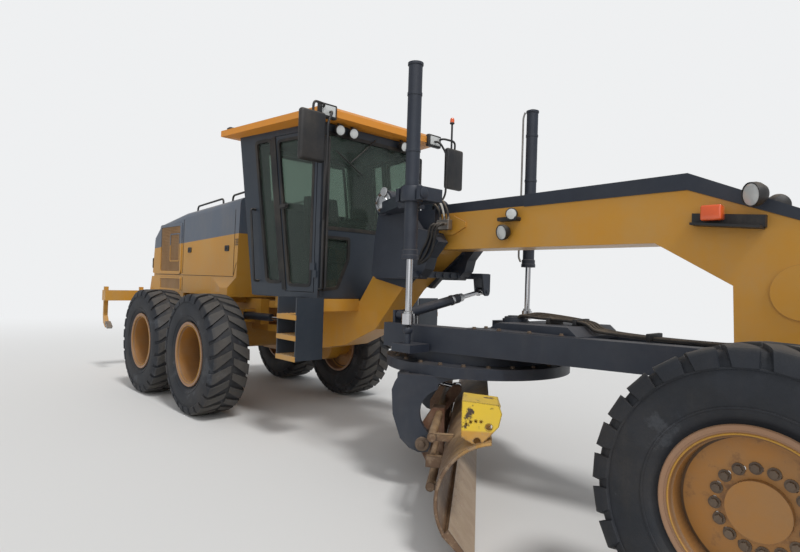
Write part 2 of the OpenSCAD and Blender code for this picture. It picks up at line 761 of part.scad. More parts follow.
module front_axle() {
    half = 110;
    color(paint) machine() difference() {
        union() {
            translate([wheelbase - half, 0, 0]) rotate([90, 0, 90]) linear_extrude(2 * half) polygon([
                [-lean_y - 70, lean_z - 55], [-lean_y + 40, lean_z - 60], [-260, lean_z + 60],
                [260, lean_z + 60], [lean_y - 40, lean_z - 60], [lean_y + 70, lean_z - 55],
                [lean_y + 70, lean_z + 60], [lean_y - 60, lean_z + 80], [400, 720],
                [250, nose_low - seat_gap], [-250, nose_low - seat_gap], [-400, 720],
                [-lean_y + 60, lean_z + 80], [-lean_y - 70, lean_z + 60]]);
            // Barrel of the lean cylinder
            bar_y(lean_bar_x, lean_rod_z, 90, -300, 60);
            block([lean_bar_x, -260, lean_rod_z - 40], [wheelbase - half + 5, -120, lean_rod_z + 30]);
            // Feet of the steering cylinders
            both_sides() {
                for (z = [steer_z - steer_gap - steer_lug, steer_z + steer_gap])
                    block([wheelbase + half - 10, steer_foot[1] - 45, z],
                          [steer_foot[0] + 40, steer_foot[1] + 45, z + steer_lug]);
                bar_z(steer_foot[0], steer_foot[1], pin_d, steer_z - steer_gap - 5,
                    steer_z + steer_gap + 5);
            }
            block([wheelbase + half - 30, -steer_foot[1] - 45, steer_z - steer_gap - steer_lug],
                  [wheelbase + half, steer_foot[1] + 45, lean_z + 200]);
        }
        // Slots of the end forks and bores of their pins
        both_sides() block([wheelbase - half + fork_t, lean_y - 130, lean_z - 200],
                           [wheelbase + half - fork_t, lean_y + 100, lean_z + 200]);
        both_sides() bar_x(lean_y, lean_z, 60 + 2 * pin_gap, wheelbase - 200, wheelbase + 200);
        bar_y(lean_bar_x, lean_rod_z, pin_d + 2 * run_gap, -280, 100);
    }
}

// Leaning head: turns on the fork's pin and carries the kingpin

module lean_head(side) {
    inner = 220 - 2 * fork_t - 2 * side_gap;
    color(paint) machine() on_side(side) {
        difference() {
            union() {
                bar_x(lean_y, lean_z, 60, wheelbase - 110, wheelbase + 110);
                bar_x(lean_y, lean_z, 116, wheelbase - inner / 2, wheelbase + inner / 2);
                translate([wheelbase - inner / 2, 0, 0]) rotate([90, 0,
                    90]) linear_extrude(inner) polygon([
                    [lean_y - 50, lean_z], [lean_y + 30, lean_z - 40], [king_y - 20, king_z[0]],
                    [king_y - 20, king_z[1]], [king_y - 72, king_z[1]], [lean_y + 50, lean_z + lean_h],
                    [lean_y - 45, lean_z + lean_h]]);
                bar_x(lean_y, lean_z + lean_h, 100, lean_bar_x + 25 + side_gap, wheelbase + inner / 2);
                bar_z(wheelbase, king_y, 116, king_z[0], king_z[1]);
            }
            bar_z(wheelbase, king_y, king_d + 2 * pin_gap, king_z[0] - cut, king_z[1] + cut);
        }
    }
}

// Knuckle: a fork round the kingpin with the hub's spindle and two arms
tie_x = -230;
// Room over the tie rod's eyes for the arms as the wheels lean
tie_drop = 22;

module knuckle(side) {
    gap = king_gap;
    hub_face = front_track / 2 + front_disc - 0.3;
    color(paint) machine() on_side(side) {
        for (z = [king_z[0] - gap - fork_h, king_z[1] + gap]) {
            bar_z(wheelbase, king_y, 120, z, z + fork_h);
            block([wheelbase - 60, king_y, z], [wheelbase + 60, king_y + 110, z + fork_h]);
        }
        bar_z(wheelbase, king_y, king_d, king_z[0] - gap - 1, king_z[1] + gap + 1);
        block([wheelbase - 60, king_y + 66, king_z[0] - gap - fork_h],
              [wheelbase + 60, king_y + 110, king_z[1] + gap + fork_h]);
        bar_y(wheelbase, tyre_r, 250, king_y + 100, hub_face);
        // Arms for the tie rod, behind, and for the steering cylinder, ahead
        flat_plate([[wheelbase - 20, king_y + 50], [wheelbase - 20, king_y - 40],
            [wheelbase + tie_x - 30, lean_y - 25],
                    [wheelbase + tie_x - 30, lean_y + 30]], king_z[0] - gap - fork_h, king_z[0] - gap);
        flat_plate([[wheelbase + 20, king_y + 50], [wheelbase + 20, king_y - 40],
                    [wheelbase + steer_arm[0] + 30, steer_arm[1] - 25],
                    [wheelbase + steer_arm[0] + 30, steer_arm[1] + 30]], king_z[0] - gap - fork_h,
                        king_z[0] - gap);
        // Stud that hangs down to the tie rod's eye
        bar_z(wheelbase + tie_x, lean_y, 28, king_z[0] - gap - fork_h - tie_drop + side_gap,
              king_z[0] - gap);
    }
}

module lean_bar() {
    color(charcoal) machine() {
        bar_y(lean_bar_x, lean_z + lean_h, 50, -lean_y + 20, lean_y - 20);
        both_sides() bar_x(lean_y, lean_z + lean_h, 80, lean_bar_x - 25, lean_bar_x + 25);
        // Rod of the lean cylinder
        bar_y(lean_bar_x, lean_rod_z, pin_d, -100, 380);
        block([lean_bar_x - 20, 340, lean_rod_z - 20], [lean_bar_x + 20, 380, lean_z + lean_h]);
    }
}

module tie_rod() {
    top = king_z[0] - king_gap - fork_h - tie_drop;
    color(charcoal) machine() {
        bar_y(wheelbase + tie_x, top - 26, 44, -lean_y, lean_y);
        both_sides() {
            bar_z(wheelbase + tie_x, lean_y, 60, top - 54, top);
        }
    }
}

module lift_barrel(side) {
    low = 1710;
    high = 3200;
    color(charcoal) machine() on_side(side) difference() {
        union() {
            bar_z(lift_x, lift_y, lift_barrel_d, low, high);
            bar_z(lift_x, lift_y, lift_barrel_d + 50, lift_pin_z - 45, lift_pin_z + 45);
            bar_x(lift_y, lift_pin_z, trunnion_d, lift_x - 128, lift_x + 128);
            bar_z(lift_x, lift_y, lift_barrel_d + 12, low, low + 70);
        }
        bar_z(lift_x, lift_y, lift_rod_d + 2 * run_gap, low - cut, high - 60);
    }
}

foot_gap = 6;
ball_d = 76;
ball_low = lift_foot_z - 40 - foot_gap - ball_d / 2;

module lift_rod(side) {
    color(steel) machine() on_side(side) {
        bar_z(lift_x, lift_y, lift_rod_d, lift_foot_z, 2400);
        bar_z(lift_x, lift_y, 96, lift_foot_z - 40, lift_foot_z + 40);
    }
}

// Drawbar, hung on a swivel under the nose
module drawbar_swivel() {
    color(charcoal) machine() difference() {
        union() {
            bar_z(ball_x, 0, 120, ball_z - 90, ball_z + 90);
            bar_y(ball_x, ball_z, 60, -130, 130);
        }
        bar_z(ball_x, 0, 60 + 2 * pin_gap, ball_z - 200, ball_z + 200);
    }
}

beam_low = 1010;
beam_high = 1200;
guide_r = 600;

module drawbar() {
    color(charcoal) machine() difference() {
        union() {
            // Side beams of the A frame; the right one runs on under the shift cylinder's foot
            for (side = [[1, 3560], [-1, 3350]])
                on_side(side[0]) flat_plate([[ball_x + 60, 75], [ball_x + 60, 125], [ball_x - 300, 200],
                                             [3700, 660], [side[1], 660], [side[1], 520], [3600, 520],
                                             [ball_x - 300, 75]], beam_low, beam_high);
            both_sides() {
                // Ear and ball of the lift cylinder
                block([lift_x - 100, 650, beam_low], [lift_x + 100, lift_y + 70, beam_low + 60]);
                translate([lift_x, lift_y, ball_low]) sphere(d = ball_d);
                bar_z(lift_x, lift_y, 50, beam_low + 50, ball_low);
            }
            // Head plate over the circle and its cross-member
            flat_plate([[3330, 560], [3330, -560], [4300, -460],
                [4300, 460]], beam_low - 10, beam_low + 30);
            block([3350, -530, beam_low], [3425, 530, beam_low + 105]);
            // Ring that guides the circle
            difference() {
                bar_z(circle_x, 0, 2 * guide_r, circle_z - 10, beam_low + 5);
                bar_z(circle_x, 0, 2 * guide_r - 120, circle_z - 100, beam_low - 10);
            }
            // Gear case and motor of the circle drive
            bar_z(circle_x + 380, 0, 200, beam_low + 20, beam_low + 260);
            bar_z(circle_x + 505, 0, 120, circle_z - circle_t / 2 + 5, beam_low);
            // Sloped cover over the head plate
            side_plate([[4150, beam_high - 6], [4230, beam_high + 50], [4820, beam_high + 62],
                        [4900, beam_high - 6]], -310, 310);
            flat_plate([[4130, 540], [4130, -540], [4920, -345],
                [4920, 345]], beam_high - 20, beam_high + 5);
            // Fork of the shift cylinder's foot
            for (x = [shift_foot[0] - shift_gap - 24, shift_foot[0] + shift_gap])
                block([x, shift_foot[1] - 38, beam_high - 5],
                    [x + 24, shift_foot[1] + 50, shift_foot[2] + 38]);
            bar_x(shift_foot[1], shift_foot[2], pin_d, shift_foot[0] - shift_gap - 5,
                  shift_foot[0] + shift_gap + 5);
        }
        // Fork on the swivel's pin
        block([ball_x - 85, -74, beam_low - cut], [ball_x + 100, 74, beam_high + cut]);
        bar_y(ball_x, ball_z, 60 + 2 * pin_gap, -200, 200);
    }
}

// Circle with its teeth, arms and the anchor of the tip cylinder
arm_a = 640;
arm_t = 60;
pivot = [-374, 355];
pivot_d = 70;
tip_barrel_d = 70;
tip_gap = tip_barrel_d / 2 + side_gap;
tip_foot = [-600, 735];
tip_head = [-150, 650];
// Each tooth of the circle: how deep, and where in its pitch
tooth = [[0, 0.08], [0, 0.42], [26, 0.6], [26, 0.9]];
tooth_h = 22;

// Arm of the circle, shaped like a C, in X and Z
module arm_outline(high) {
    difference() {
        polygon([[-556, high], [-590, 800], [-612, 740], [-600, 560], [-540, 385], [-470, 318], [-400, 292],
            [-330, 300],
                 [-308, 372], [-300, 400], [-270, 795], [-192, 830], [-20, high]]);
        translate([-215, 580]) circle(r = 185);
    }
    translate(pivot) circle(d = 1.8 * pivot_d);
}

module turn_circle() {
    low = circle_z - circle_t / 2;
    color(charcoal) machine() in_circle() difference() {
        union() {
            difference() {
                translate([0, 0, low]) cylinder(h = circle_t, r = circle_d / 2);
                translate([0, 0, low - cut]) linear_extrude(cut + tooth_h) polygon([
                    for (i = [0 : circle_teeth - 1], t = tooth)
                        (guide_r - t[0]) * [cos((i + t[1]) * 360 / circle_teeth),
                                            sin((i + t[1]) * 360 / circle_teeth)]]);
                translate([0, 0, low + tooth_h]) cylinder(h = circle_t, r = guide_r + pin_gap);
            }
            // Arms down to the blade's pivots
            both_sides() translate([0, arm_a + arm_t, 0]) rotate([90, 0, 0]) linear_extrude(arm_t)
                arm_outline(low + 5);
            block([-580, -arm_a - 5, low - 60], [-500, arm_a + 5, low + 5]);
            for (y = [-tip_gap - 30, tip_gap])
                side_plate([[tip_foot[0] - 40, low - 30], [tip_foot[0] + 45, low - 30],
                            [tip_foot[0] + 40, tip_foot[1] - 40],
                                [tip_foot[0] - 40, tip_foot[1] - 40]], y, y + 30);
            bar_y(tip_foot[0], tip_foot[1], pin_d, -tip_gap - 5, tip_gap + 5);
        }
        both_sides() bar_y(pivot[0], pivot[1], pivot_d + 2 * pin_gap, arm_a - cut, arm_a + arm_t + cut);
    }
}

// Carrier that turns on the circle's arms and guides the blade
cheek_a = 560;
cheek_t = 120;
rail_d = 60;
rail_gap = 1;
rail_half = 1350;
rail_spots = [[-262, 250], [-262, 560]];
side_rod = [-262, 405];

module blade_carrier() {
    color(charcoal) machine() in_circle() difference() {
        union() {
            bar_y(pivot[0], pivot[1], pivot_d, -arm_a - arm_t, arm_a + arm_t);
            both_sides() side_plate([[-425, 350], [-350, 205], [-222, 205], [-222, 605], [-310, 605],
                                     [-425, 420]], cheek_a - cheek_t / 2, cheek_a + cheek_t / 2);
            // Lugs of the tip cylinder
            for (y = [-tip_gap - 30, tip_gap])
                side_plate([[pivot[0] - 25, pivot[1] + 5], [pivot[0] + 60, pivot[1] + 5],
                    [tip_head[0] + 35, tip_head[1] - 10],
                            [tip_head[0] + 20, tip_head[1] + 35], [tip_head[0] - 40, tip_head[1] + 30]],
                           y, y + 30);
            // Barrel of the side shift cylinder
            bar_y(side_rod[0], side_rod[1], small_barrel_d, -565, 632);
        }
        for (spot = rail_spots)
            bar_y(spot[0], spot[1], rail_d + 2 * rail_gap, -700, 700);
        bar_y(side_rod[0], side_rod[1], small_rod_d + 2 * run_gap, -700, 622);
    }
}

// Blade: a curved plate with its cutting edge, rails behind and a bracket on the right end
blade_r = 350;
blade_t = 22;
curl = [146, 348];
bracket_hole = 38;
arc_r = 108;
blade_top = blade_gap + blade_h;

// Back of the blade at a height
function blade_back(z) = curl[0] - sqrt(blade_r * blade_r - (z - curl[1]) * (z - curl[1]));

module moldboard() {
    left = blade_len / 2 + blade_shift;
    right = -blade_len / 2 + blade_shift;
    color("gold") machine() in_circle() {
        translate([0, left, 0]) rotate([90, 0, 0]) linear_extrude(left - right) intersection() {
            difference() {
                translate(curl) circle(r = blade_r);
                translate(curl) circle(r = blade_r - blade_t);
            }
            polygon([[-300, 160], [100, 160], [100, blade_top + 5], [-300, blade_top + 5]]);
        }
        // Cutting edge along the foot
        side_plate([[-155, 165], [-8, blade_gap], [24, blade_gap], [-120, 205]], right, left);
        // Slide rails with a foot at each end
        for (spot = rail_spots) {
            bar_y(spot[0], spot[1], rail_d, blade_shift - rail_half, blade_shift + rail_half);
            for (y = [blade_shift - rail_half + 10, blade_shift + rail_half - 50])
                side_plate([[spot[0] - 10, spot[1] - 22], [blade_back(spot[1]) + 8, spot[1] - 22],
                            [blade_back(spot[1]) + 8, spot[1] + 22],
                                [spot[0] - 10, spot[1] + 22]], y, y + 40);
        }
        // Rod of the side shift cylinder and its foot on the blade
        bar_y(side_rod[0], side_rod[1], small_rod_d, blade_shift - rail_half + 10, 105);
        side_plate([[side_rod[0] - 35, side_rod[1] - 35], [blade_back(side_rod[1]) + 8, side_rod[1] - 35],
                    [blade_back(side_rod[1]) + 8, side_rod[1] + 35], [side_rod[0] - 35, side_rod[1] + 35]],
                   blade_shift - rail_half + 10, blade_shift - rail_half + 50);
        // Bracket on the right end, with its pin holes and an arc of small ones
        difference() {
            for (y = [right + 10, right + 210])
                side_plate([[-66, blade_top + 10], [27, blade_top - 38], [84, blade_top + 20],
                    [135, blade_top + 77],
                            [150, blade_top + 147], [132, blade_top + 195],
                                [-66, blade_top + 210]], y, y + 30);
            for (spot = [[21, -6], [82, 73]])
                bar_y(spot[0], blade_top + spot[1], bracket_hole, right - cut, right + 300);
            for (turn = [80 : 15 : 125])
                bar_y(21 + arc_r * cos(turn), blade_top - 6 + arc_r * sin(turn), 14, right - cut,
                    right + 300);
        }
        side_plate([[-66, blade_top + 188], [140, blade_top + 172], [132, blade_top + 195],
                    [-66, blade_top + 210]], right + 10, right + 240);
        side_plate([[-66, blade_top + 10], [-44, blade_top + 10], [-44, blade_top + 200],
                    [-66, blade_top + 205]], right + 10, right + 240);
    }
}

// A point of the circle's frame in the machine's frame
function in_machine(p) = [circle_x + p[0] * cos(blade_angle) - p[1] * sin(blade_angle),
                          p[0] * sin(blade_angle) + p[1] * cos(blade_angle), p[2]];

// A flat link between two spots in X and Z, with a bored eye at each end
module link(foot, head, w, y_from, y_to) {
    run = head - foot;
    turn = atan2(run[1], run[0]);
    difference() {
        union() {
            bar_y(foot[0], foot[1], w, y_from, y_to);
            bar_y(head[0], head[1], w, y_from, y_to);
            translate([foot[0], y_to, foot[1]]) rotate([90, 0, 0]) rotate([0, 0, turn])
                translate([0, -w / 2 + 8, 4]) cube([norm(run), w - 16, y_to - y_from - 8]);
        }
        for (spot = [foot, head])
            bar_y(spot[0], spot[1], pin_d + 2 * pin_gap, y_from - cut, y_to + cut);
    }
}

// Ripper: two lower links, two upper ones, the beam with its shanks
link_w = 76;
top_link_w = 70;

module ripper_links() {
    mid = (link_foot + link_head) / 2;
    color(paint) machine() {
        for (y = [-374, 334])
            link(link_foot, link_head, link_w, y, y + 40);
        bar_y(mid[0], mid[1], 70, -340, 340);
    }
}

module ripper_top_link() {
    rise = [0, link_rise];
    mid = (link_foot + link_head) / 2 + rise;
    color(paint) machine() {
        for (y = [-374, 334])
            link(link_foot + rise, link_head + rise, top_link_w, y, y + 40);
        for (y = [-340, 130])
            bar_y(mid[0], mid[1], 50, y, y + 210);
    }
}

module ripper_beam() {
    low = 1095;
    color(paint) machine() {
        block([beam_x - beam_d / 2, -ripper_w / 2, low],
            [beam_x + beam_d / 2, ripper_w / 2, low + beam_d]);
        both_sides() {
            side_plate([[beam_x, low + 5], [link_head[0] + 50, link_head[1] - 50],
                        [link_head[0] + 50, link_head[1] + link_rise + 50],
                        [link_head[0] - 55, link_head[1] + link_rise + 50],
                            [beam_x, low + beam_d]], 384, 424);
            for (z = [link_head[1], link_head[1] + link_rise])
                bar_y(link_head[0], z, pin_d, 330, 390);
            // Fork of the cylinder's eye
            side_plate([[beam_x, low + beam_d - 5], [ripper_head[0] + 40, low + beam_d - 5],
                        [ripper_head[0] + 40, ripper_head[2] + 40],
                            [ripper_head[0] - 40, ripper_head[2] + 40]],
                       40, 80);
        }
        for (i = [0 : ripper_shanks - 1]) {
            y = -ripper_w / 2 + 60 + i * (ripper_w - 120) / (ripper_shanks - 1);
            back = beam_x - beam_d / 2;
            side_plate([[back - 40, 1310], [back + 5, 1310], [back + 5, 860], [back + 130, 700],
                        [back + 100, 670], [back - 10, 740], [back - 40, 860]],
                       y - shank_t / 2, y + shank_t / 2);
        }
    }
}

rear_x = tandem_pitch / 2;
rear_y = rear_track / 2;
front_y = front_track / 2;
tip_foot_at = in_machine([tip_foot[0], 0, tip_foot[1]]);
tip_head_at = in_machine([tip_head[0], 0, tip_head[1]]);

// Cylinders: foot, head, barrel length, rod's inner end from the foot, barrel and rod
// diameter, eye width, and the turn that sets the pins upright
FOOT = 0;
HEAD = 1;
LENGTH = 2;
INSIDE = 3;
BARREL_D = 4;
ROD_D = 5;
EYE_T = 6;
TURN = 7;
steer = [steer_foot, steer_head, 345, 195, steer_barrel_d, 36, 0, 90];
hitch = [hitch_foot, hitch_head, 500, 300, small_barrel_d, small_rod_d, 60, 90];
shift = [shift_foot, shift_head, 700, 378, small_barrel_d, small_rod_d, 60, 0];
tip = [tip_foot_at, tip_head_at, 300, 115, tip_barrel_d, 36, 50, 0];
ripper = [ripper_foot, ripper_head, 440, 85, small_barrel_d, small_rod_d, 60, 0];
eye_d = 70;

module cylinder_barrel(spec, side) {
    run = spec[HEAD] - spec[FOOT];
    flat = norm([run[0], run[1]]);
    eye_t = spec[BARREL_D] - 8;
    color(charcoal) machine() on_side(side) translate(spec[FOOT])
        rotate([0, atan2(flat, run[2]), atan2(run[1], run[0])]) rotate([0, 0, spec[TURN]]) difference() {
            union() {
                translate([0, 0, eye_d / 2 - 8])
                    cylinder(h = spec[LENGTH] - eye_d / 2 + 8, d = spec[BARREL_D]);
                translate([0, eye_t / 2, 0]) rotate([90, 0, 0]) cylinder(h = eye_t, d = eye_d);
            }
            translate([0, 0, eye_d / 2 + 10]) cylinder(h = spec[LENGTH], d = spec[ROD_D] + 2 * run_gap);
            translate([0, eye_t / 2 + cut, 0]) rotate([90, 0, 0])
                cylinder(h = eye_t + 2 * cut, d = pin_d + 2 * pin_gap);
        }
}

module cylinder_rod(spec, side) {
    run = spec[FOOT] - spec[HEAD];
    flat = norm([run[0], run[1]]);
    eye_t = spec[EYE_T];
    color(steel) machine() on_side(side) translate(spec[HEAD])
        rotate([0, atan2(flat, run[2]), atan2(run[1], run[0])]) rotate([0, 0, spec[TURN]]) {
            cylinder(h = norm(run) - spec[INSIDE], d = spec[ROD_D]);
            // The rod's end is a round eye, or a ball where its width is zero
            if (eye_t > 0) translate([0, eye_t / 2, 0]) rotate([90, 0, 0]) cylinder(h = eye_t, d = eye_d);
            else sphere(d = steer_ball_d);
        }
}

rear_frame();
engine_block();
hood();
rear_axle();
tyre(wheelbase, front_y, 1);  // tyre_front_left
rim(wheelbase, front_y, 1, front_disc, front_hub);  // rim_front_left
tyre(wheelbase, front_y, -1);  // tyre_front_right
rim(wheelbase, front_y, -1, front_disc, front_hub);  // rim_front_right
tyre(rear_x, rear_y, 1);  // tyre_mid_left
rim(rear_x, rear_y, 1, rear_disc, rear_hub);  // rim_mid_left
tyre(rear_x, rear_y, -1);  // tyre_mid_right
rim(rear_x, rear_y, -1, rear_disc, rear_hub);  // rim_mid_right
tyre(-rear_x, rear_y, 1);  // tyre_rear_left
rim(-rear_x, rear_y, 1, rear_disc, rear_hub);  // rim_rear_left
tyre(-rear_x, rear_y, -1);  // tyre_rear_right
rim(-rear_x, rear_y, -1, rear_disc, rear_hub);  // rim_rear_right
front_frame();
frame_cover();
saddle();
cab_shell();
cab_roof();
cab_glass();
lamps_mirrors();
front_axle();
door(1);  // door_left
door(-1);  // door_right
door_glass(1);  // door_glass_left
door_glass(-1);  // door_glass_right
lean_head(1);  // lean_left
lean_head(-1);  // lean_right
knuckle(1);  // knuckle_left
knuckle(-1);  // knuckle_right
lean_bar();
tie_rod();
cylinder_barrel(steer, 1);  // steer_barrel_left
cylinder_rod(steer, 1);  // steer_rod_left
cylinder_barrel(steer, -1);  // steer_barrel_right
cylinder_rod(steer, -1);  // steer_rod_right
drawbar_swivel();
drawbar();
turn_circle();  // circle
blade_carrier();
moldboard();
cylinder_barrel(tip, 1);  // tip_barrel
cylinder_rod(tip, 1);  // tip_rod
lift_barrel(1);  // lift_barrel_left
lift_rod(1);  // lift_rod_left
lift_barrel(-1);  // lift_barrel_right
lift_rod(-1);  // lift_rod_right
cylinder_barrel(shift, 1);  // shift_barrel
cylinder_rod(shift, 1);  // shift_rod
ripper_links();
ripper_top_link();
ripper_beam();
cylinder_barrel(ripper, 1);  // ripper_barrel
cylinder_rod(ripper, 1);  // ripper_rod
cylinder_barrel(hitch, 1);  // hitch_barrel_left
cylinder_rod(hitch, 1);  // hitch_rod_left
cylinder_barrel(hitch, -1);  // hitch_barrel_right
cylinder_rod(hitch, -1);  // hitch_rod_right
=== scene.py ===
from math import cos, hypot, pi, radians, sin

import bmesh
import bpy
from mathutils import Matrix, Vector


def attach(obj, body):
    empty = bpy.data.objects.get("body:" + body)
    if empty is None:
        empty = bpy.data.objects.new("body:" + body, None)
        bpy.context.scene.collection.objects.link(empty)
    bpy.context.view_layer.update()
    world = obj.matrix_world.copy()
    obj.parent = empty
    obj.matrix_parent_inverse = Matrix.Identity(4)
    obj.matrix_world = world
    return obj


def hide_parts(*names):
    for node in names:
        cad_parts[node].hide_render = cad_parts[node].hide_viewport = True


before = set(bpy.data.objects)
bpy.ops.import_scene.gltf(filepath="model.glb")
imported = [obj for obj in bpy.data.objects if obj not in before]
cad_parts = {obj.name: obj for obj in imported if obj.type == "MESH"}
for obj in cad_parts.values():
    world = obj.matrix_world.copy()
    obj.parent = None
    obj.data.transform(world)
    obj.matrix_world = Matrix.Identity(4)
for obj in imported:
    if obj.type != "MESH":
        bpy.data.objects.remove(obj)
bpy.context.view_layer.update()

# Places are in metres: x ahead of the tandem's middle, y to the left, z up.
# at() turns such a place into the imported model's frame, whose origin lies MID_X ahead.
MID_X = 1.97875
WHEELBASE = 6.16
TANDEM_X = 0.755
FRONT_Y, REAR_Y = 1.04, 1.015
TYRE_R = 0.6675
TYRE_W = 0.445
SHIFT_FOOT, SHIFT_HEAD = (3.48, -0.58, 1.265), (3.48, 0.455, 1.47)
LIFT_X, LIFT_Y = 3.76, 0.787
SADDLE_X, SADDLE_Z = 2.985, 2.25
CIRCLE_X = 3.80


def at(x, y, z):
    return Vector((x - MID_X, y, z))


def back_out(place):
    """The tandem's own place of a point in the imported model's frame."""
    return place + Vector((MID_X, 0, 0))


# -------------------- camera

def look(place, azimuth, pitch, roll, lens):
    """A camera whose azimuth is counted from +Y towards -X."""
    forward = Vector((-sin(azimuth) * cos(pitch), cos(azimuth) * cos(pitch), sin(pitch)))
    level = Vector((cos(azimuth), sin(azimuth), 0))
    upright = level.cross(forward)
    right = level * cos(roll) + upright * sin(roll)
    up = upright * cos(roll) - level * sin(roll)
    camera = bpy.data.objects.new("Camera", bpy.data.cameras.new("Camera"))
    camera.matrix_world = Matrix((right, up, -forward)).transposed().to_4x4()
    camera.location = place
    camera.data.lens = lens
    camera.data.sensor_width = 36
    camera.data.sensor_fit = "HORIZONTAL"
    camera.data.clip_end = 200
    bpy.context.scene.collection.objects.link(camera)
    bpy.context.scene.camera = camera


look(at(6.782, -3.727, 1.540), radians(46.739), radians(0.536), radians(1.796), 25.04)


# -------------------- shader helpers

class Tree:
    """Adds nodes to a node tree by type, and links them."""

    def __init__(self, tree):
        self.tree = tree

    def add(self, kind, inputs=None, **settings):
        node = self.tree.nodes.new(kind)
        for key, value in settings.items():
            setattr(node, key, value)
        for key, value in (inputs or {}).items():
            if isinstance(value, bpy.types.NodeSocket):
                self.tree.links.new(value, node.inputs[key])
            else:
                node.inputs[key].default_value = value
        return node

    def math(self, operation, a, b=None, c=None, clamp=False):
        node = self.add("ShaderNodeMath", operation=operation, use_clamp=clamp)
        for index, value in enumerate((a, b, c)):
            if isinstance(value, bpy.types.NodeSocket):
                self.tree.links.new(value, node.inputs[index])
            elif value is not None:
                node.inputs[index].default_value = value
        return node.outputs[0]

    def blend(self, factor, a, b, mode="MIX"):
        node = self.add("ShaderNodeMix", data_type="RGBA", blend_type=mode)
        for index, value in ((0, factor), (6, a), (7, b)):
            if isinstance(value, bpy.types.NodeSocket):
                self.tree.links.new(value, node.inputs[index])
            else:
                node.inputs[index].default_value = value
        return node.outputs[2]

    def between(self, value, low, high):
        node = self.add("ShaderNodeMapRange", {0: value, 1: low, 2: high}, interpolation_type="SMOOTHSTEP")
        return node.outputs[0]

    def noise(self, scale, detail=3.0, rough=0.5, vector=None, stretch=None):
        if stretch:
            mapping = self.add("ShaderNodeMapping", {"Vector": vector, "Scale": stretch})
            vector = mapping.outputs[0]
        node = self.add("ShaderNodeTexNoise", {"Scale": scale, "Detail": detail, "Roughness": rough})
        if vector:
            self.tree.links.new(vector, node.inputs["Vector"])
        return node.outputs["Fac"]


def effect(name, inputs, outputs, build):
    """A shader node group with named inputs and outputs, made once."""
    tree = bpy.data.node_groups.new(name, "ShaderNodeTree")
    for label, kind, value in inputs:
        socket = tree.interface.new_socket(label, in_out="INPUT", socket_type=kind)
        socket.default_value = value
    for label, kind in outputs:
        tree.interface.new_socket(label, in_out="OUTPUT", socket_type=kind)
    t = Tree(tree)
    entry = tree.nodes.new("NodeGroupInput")
    leave = tree.nodes.new("NodeGroupOutput")
    place = t.add("ShaderNodeTexCoord").outputs["Object"]
    for label, value in build(t, entry.outputs, place).items():
        tree.links.new(value, leave.inputs[label])
    return tree


COLOR, NUMBER = "NodeSocketColor", "NodeSocketFloat"


def fade_nodes(t, given, place):
    """Sun-faded patches over a clean colour, with finer mottling."""
    broad = t.between(t.noise(given["Scale"], 4.0, 0.6, place), 0.38, 0.66)
    fine = t.noise(t.math("MULTIPLY", given["Scale"], 9.0), 5.0, 0.65, place)
    mixed = t.blend(t.math("MULTIPLY", broad, given["Amount"]), given["Clean"], given["Faded"])
    shade = t.blend(t.math("MULTIPLY", t.between(fine, 0.35, 0.75), 0.22), mixed, given["Faded"])
    return {"Color": shade}


def dust_nodes(t, given, place):
    """Dust that lies on top faces, runs down the sides in streaks and gathers low down."""
    normal = t.add("ShaderNodeNewGeometry").outputs["Normal"]
    upward = t.between(t.add("ShaderNodeSeparateXYZ", {0: normal}).outputs["Z"], 0.25, 0.95)
    height = t.add("ShaderNodeSeparateXYZ", {0: place}).outputs["Z"]
    low = t.math("SUBTRACT", 1.0, t.between(height, 0.2, 1.5))
    cloud = t.between(t.noise(2.6, 6.0, 0.62, place), 0.36, 0.72)
    streak = t.between(t.noise(9.0, 4.0, 0.6, place, (1.0, 1.0, 0.12)), 0.46, 0.8)
    speck = t.between(t.noise(70.0, 2.0, 0.5, place), 0.3, 0.75)
    side = t.math("MULTIPLY", t.math("ADD", t.math("MULTIPLY", cloud, 0.6), t.math("MULTIPLY", streak, 0.5)),
                  t.math("ADD", t.math("MULTIPLY", low, given["Low"]), given["Sides"]))
    top = t.math("MULTIPLY", t.math("MULTIPLY", upward, given["Tops"]),
                 t.math("ADD", t.math("MULTIPLY", cloud, 0.5), 0.5))
    mask = t.math("MULTIPLY", t.math("ADD", side, top), t.math("ADD", t.math("MULTIPLY", speck, 0.35), 0.65),
                  clamp=True)
    return {"Color": t.blend(mask, given["Color"], given["Dust"]), "Mask": mask}


def chip_nodes(t, given, place):
    """Paint gone from the edges, and scratches scattered over the faces."""
    face = t.add("ShaderNodeNewGeometry").outputs["Normal"]
    soft = t.add("ShaderNodeBevel", {"Radius": given["Width"]}, samples=4).outputs[0]
    turned = t.add("ShaderNodeVectorMath", {0: face, 1: soft}, operation="DOT_PRODUCT").outputs["Value"]
    edge = t.math("SUBTRACT", 1.0, t.between(turned, 0.82, 0.985))
    rag = t.noise(28.0, 5.0, 0.7, place)
    worn = t.between(t.math("ADD", t.math("MULTIPLY", edge, 0.55), rag), 0.72, 0.86)
    spot = t.between(t.noise(11.0, 6.0, 0.72, place), 0.66, 0.7)
    fine = t.math("MULTIPLY", spot, given["Scratches"])
    mask = t.math("ADD", t.math("MULTIPLY", worn, given["Edges"]), fine, clamp=True)
    return {"Mask": mask, "Color": t.blend(mask, given["Color"], given["Bare"])}


def grain_nodes(t, given, place):
    """Orange peel of paint, pores of rubber or cast iron, as a height."""
    fine = t.noise(given["Scale"], 4.0, 0.6, place)
    wavy = t.noise(t.math("MULTIPLY", given["Scale"], 0.08), 3.0, 0.5, place)
    return {"Height": t.math("ADD", fine, t.math("MULTIPLY", wavy, given["Dents"]))}


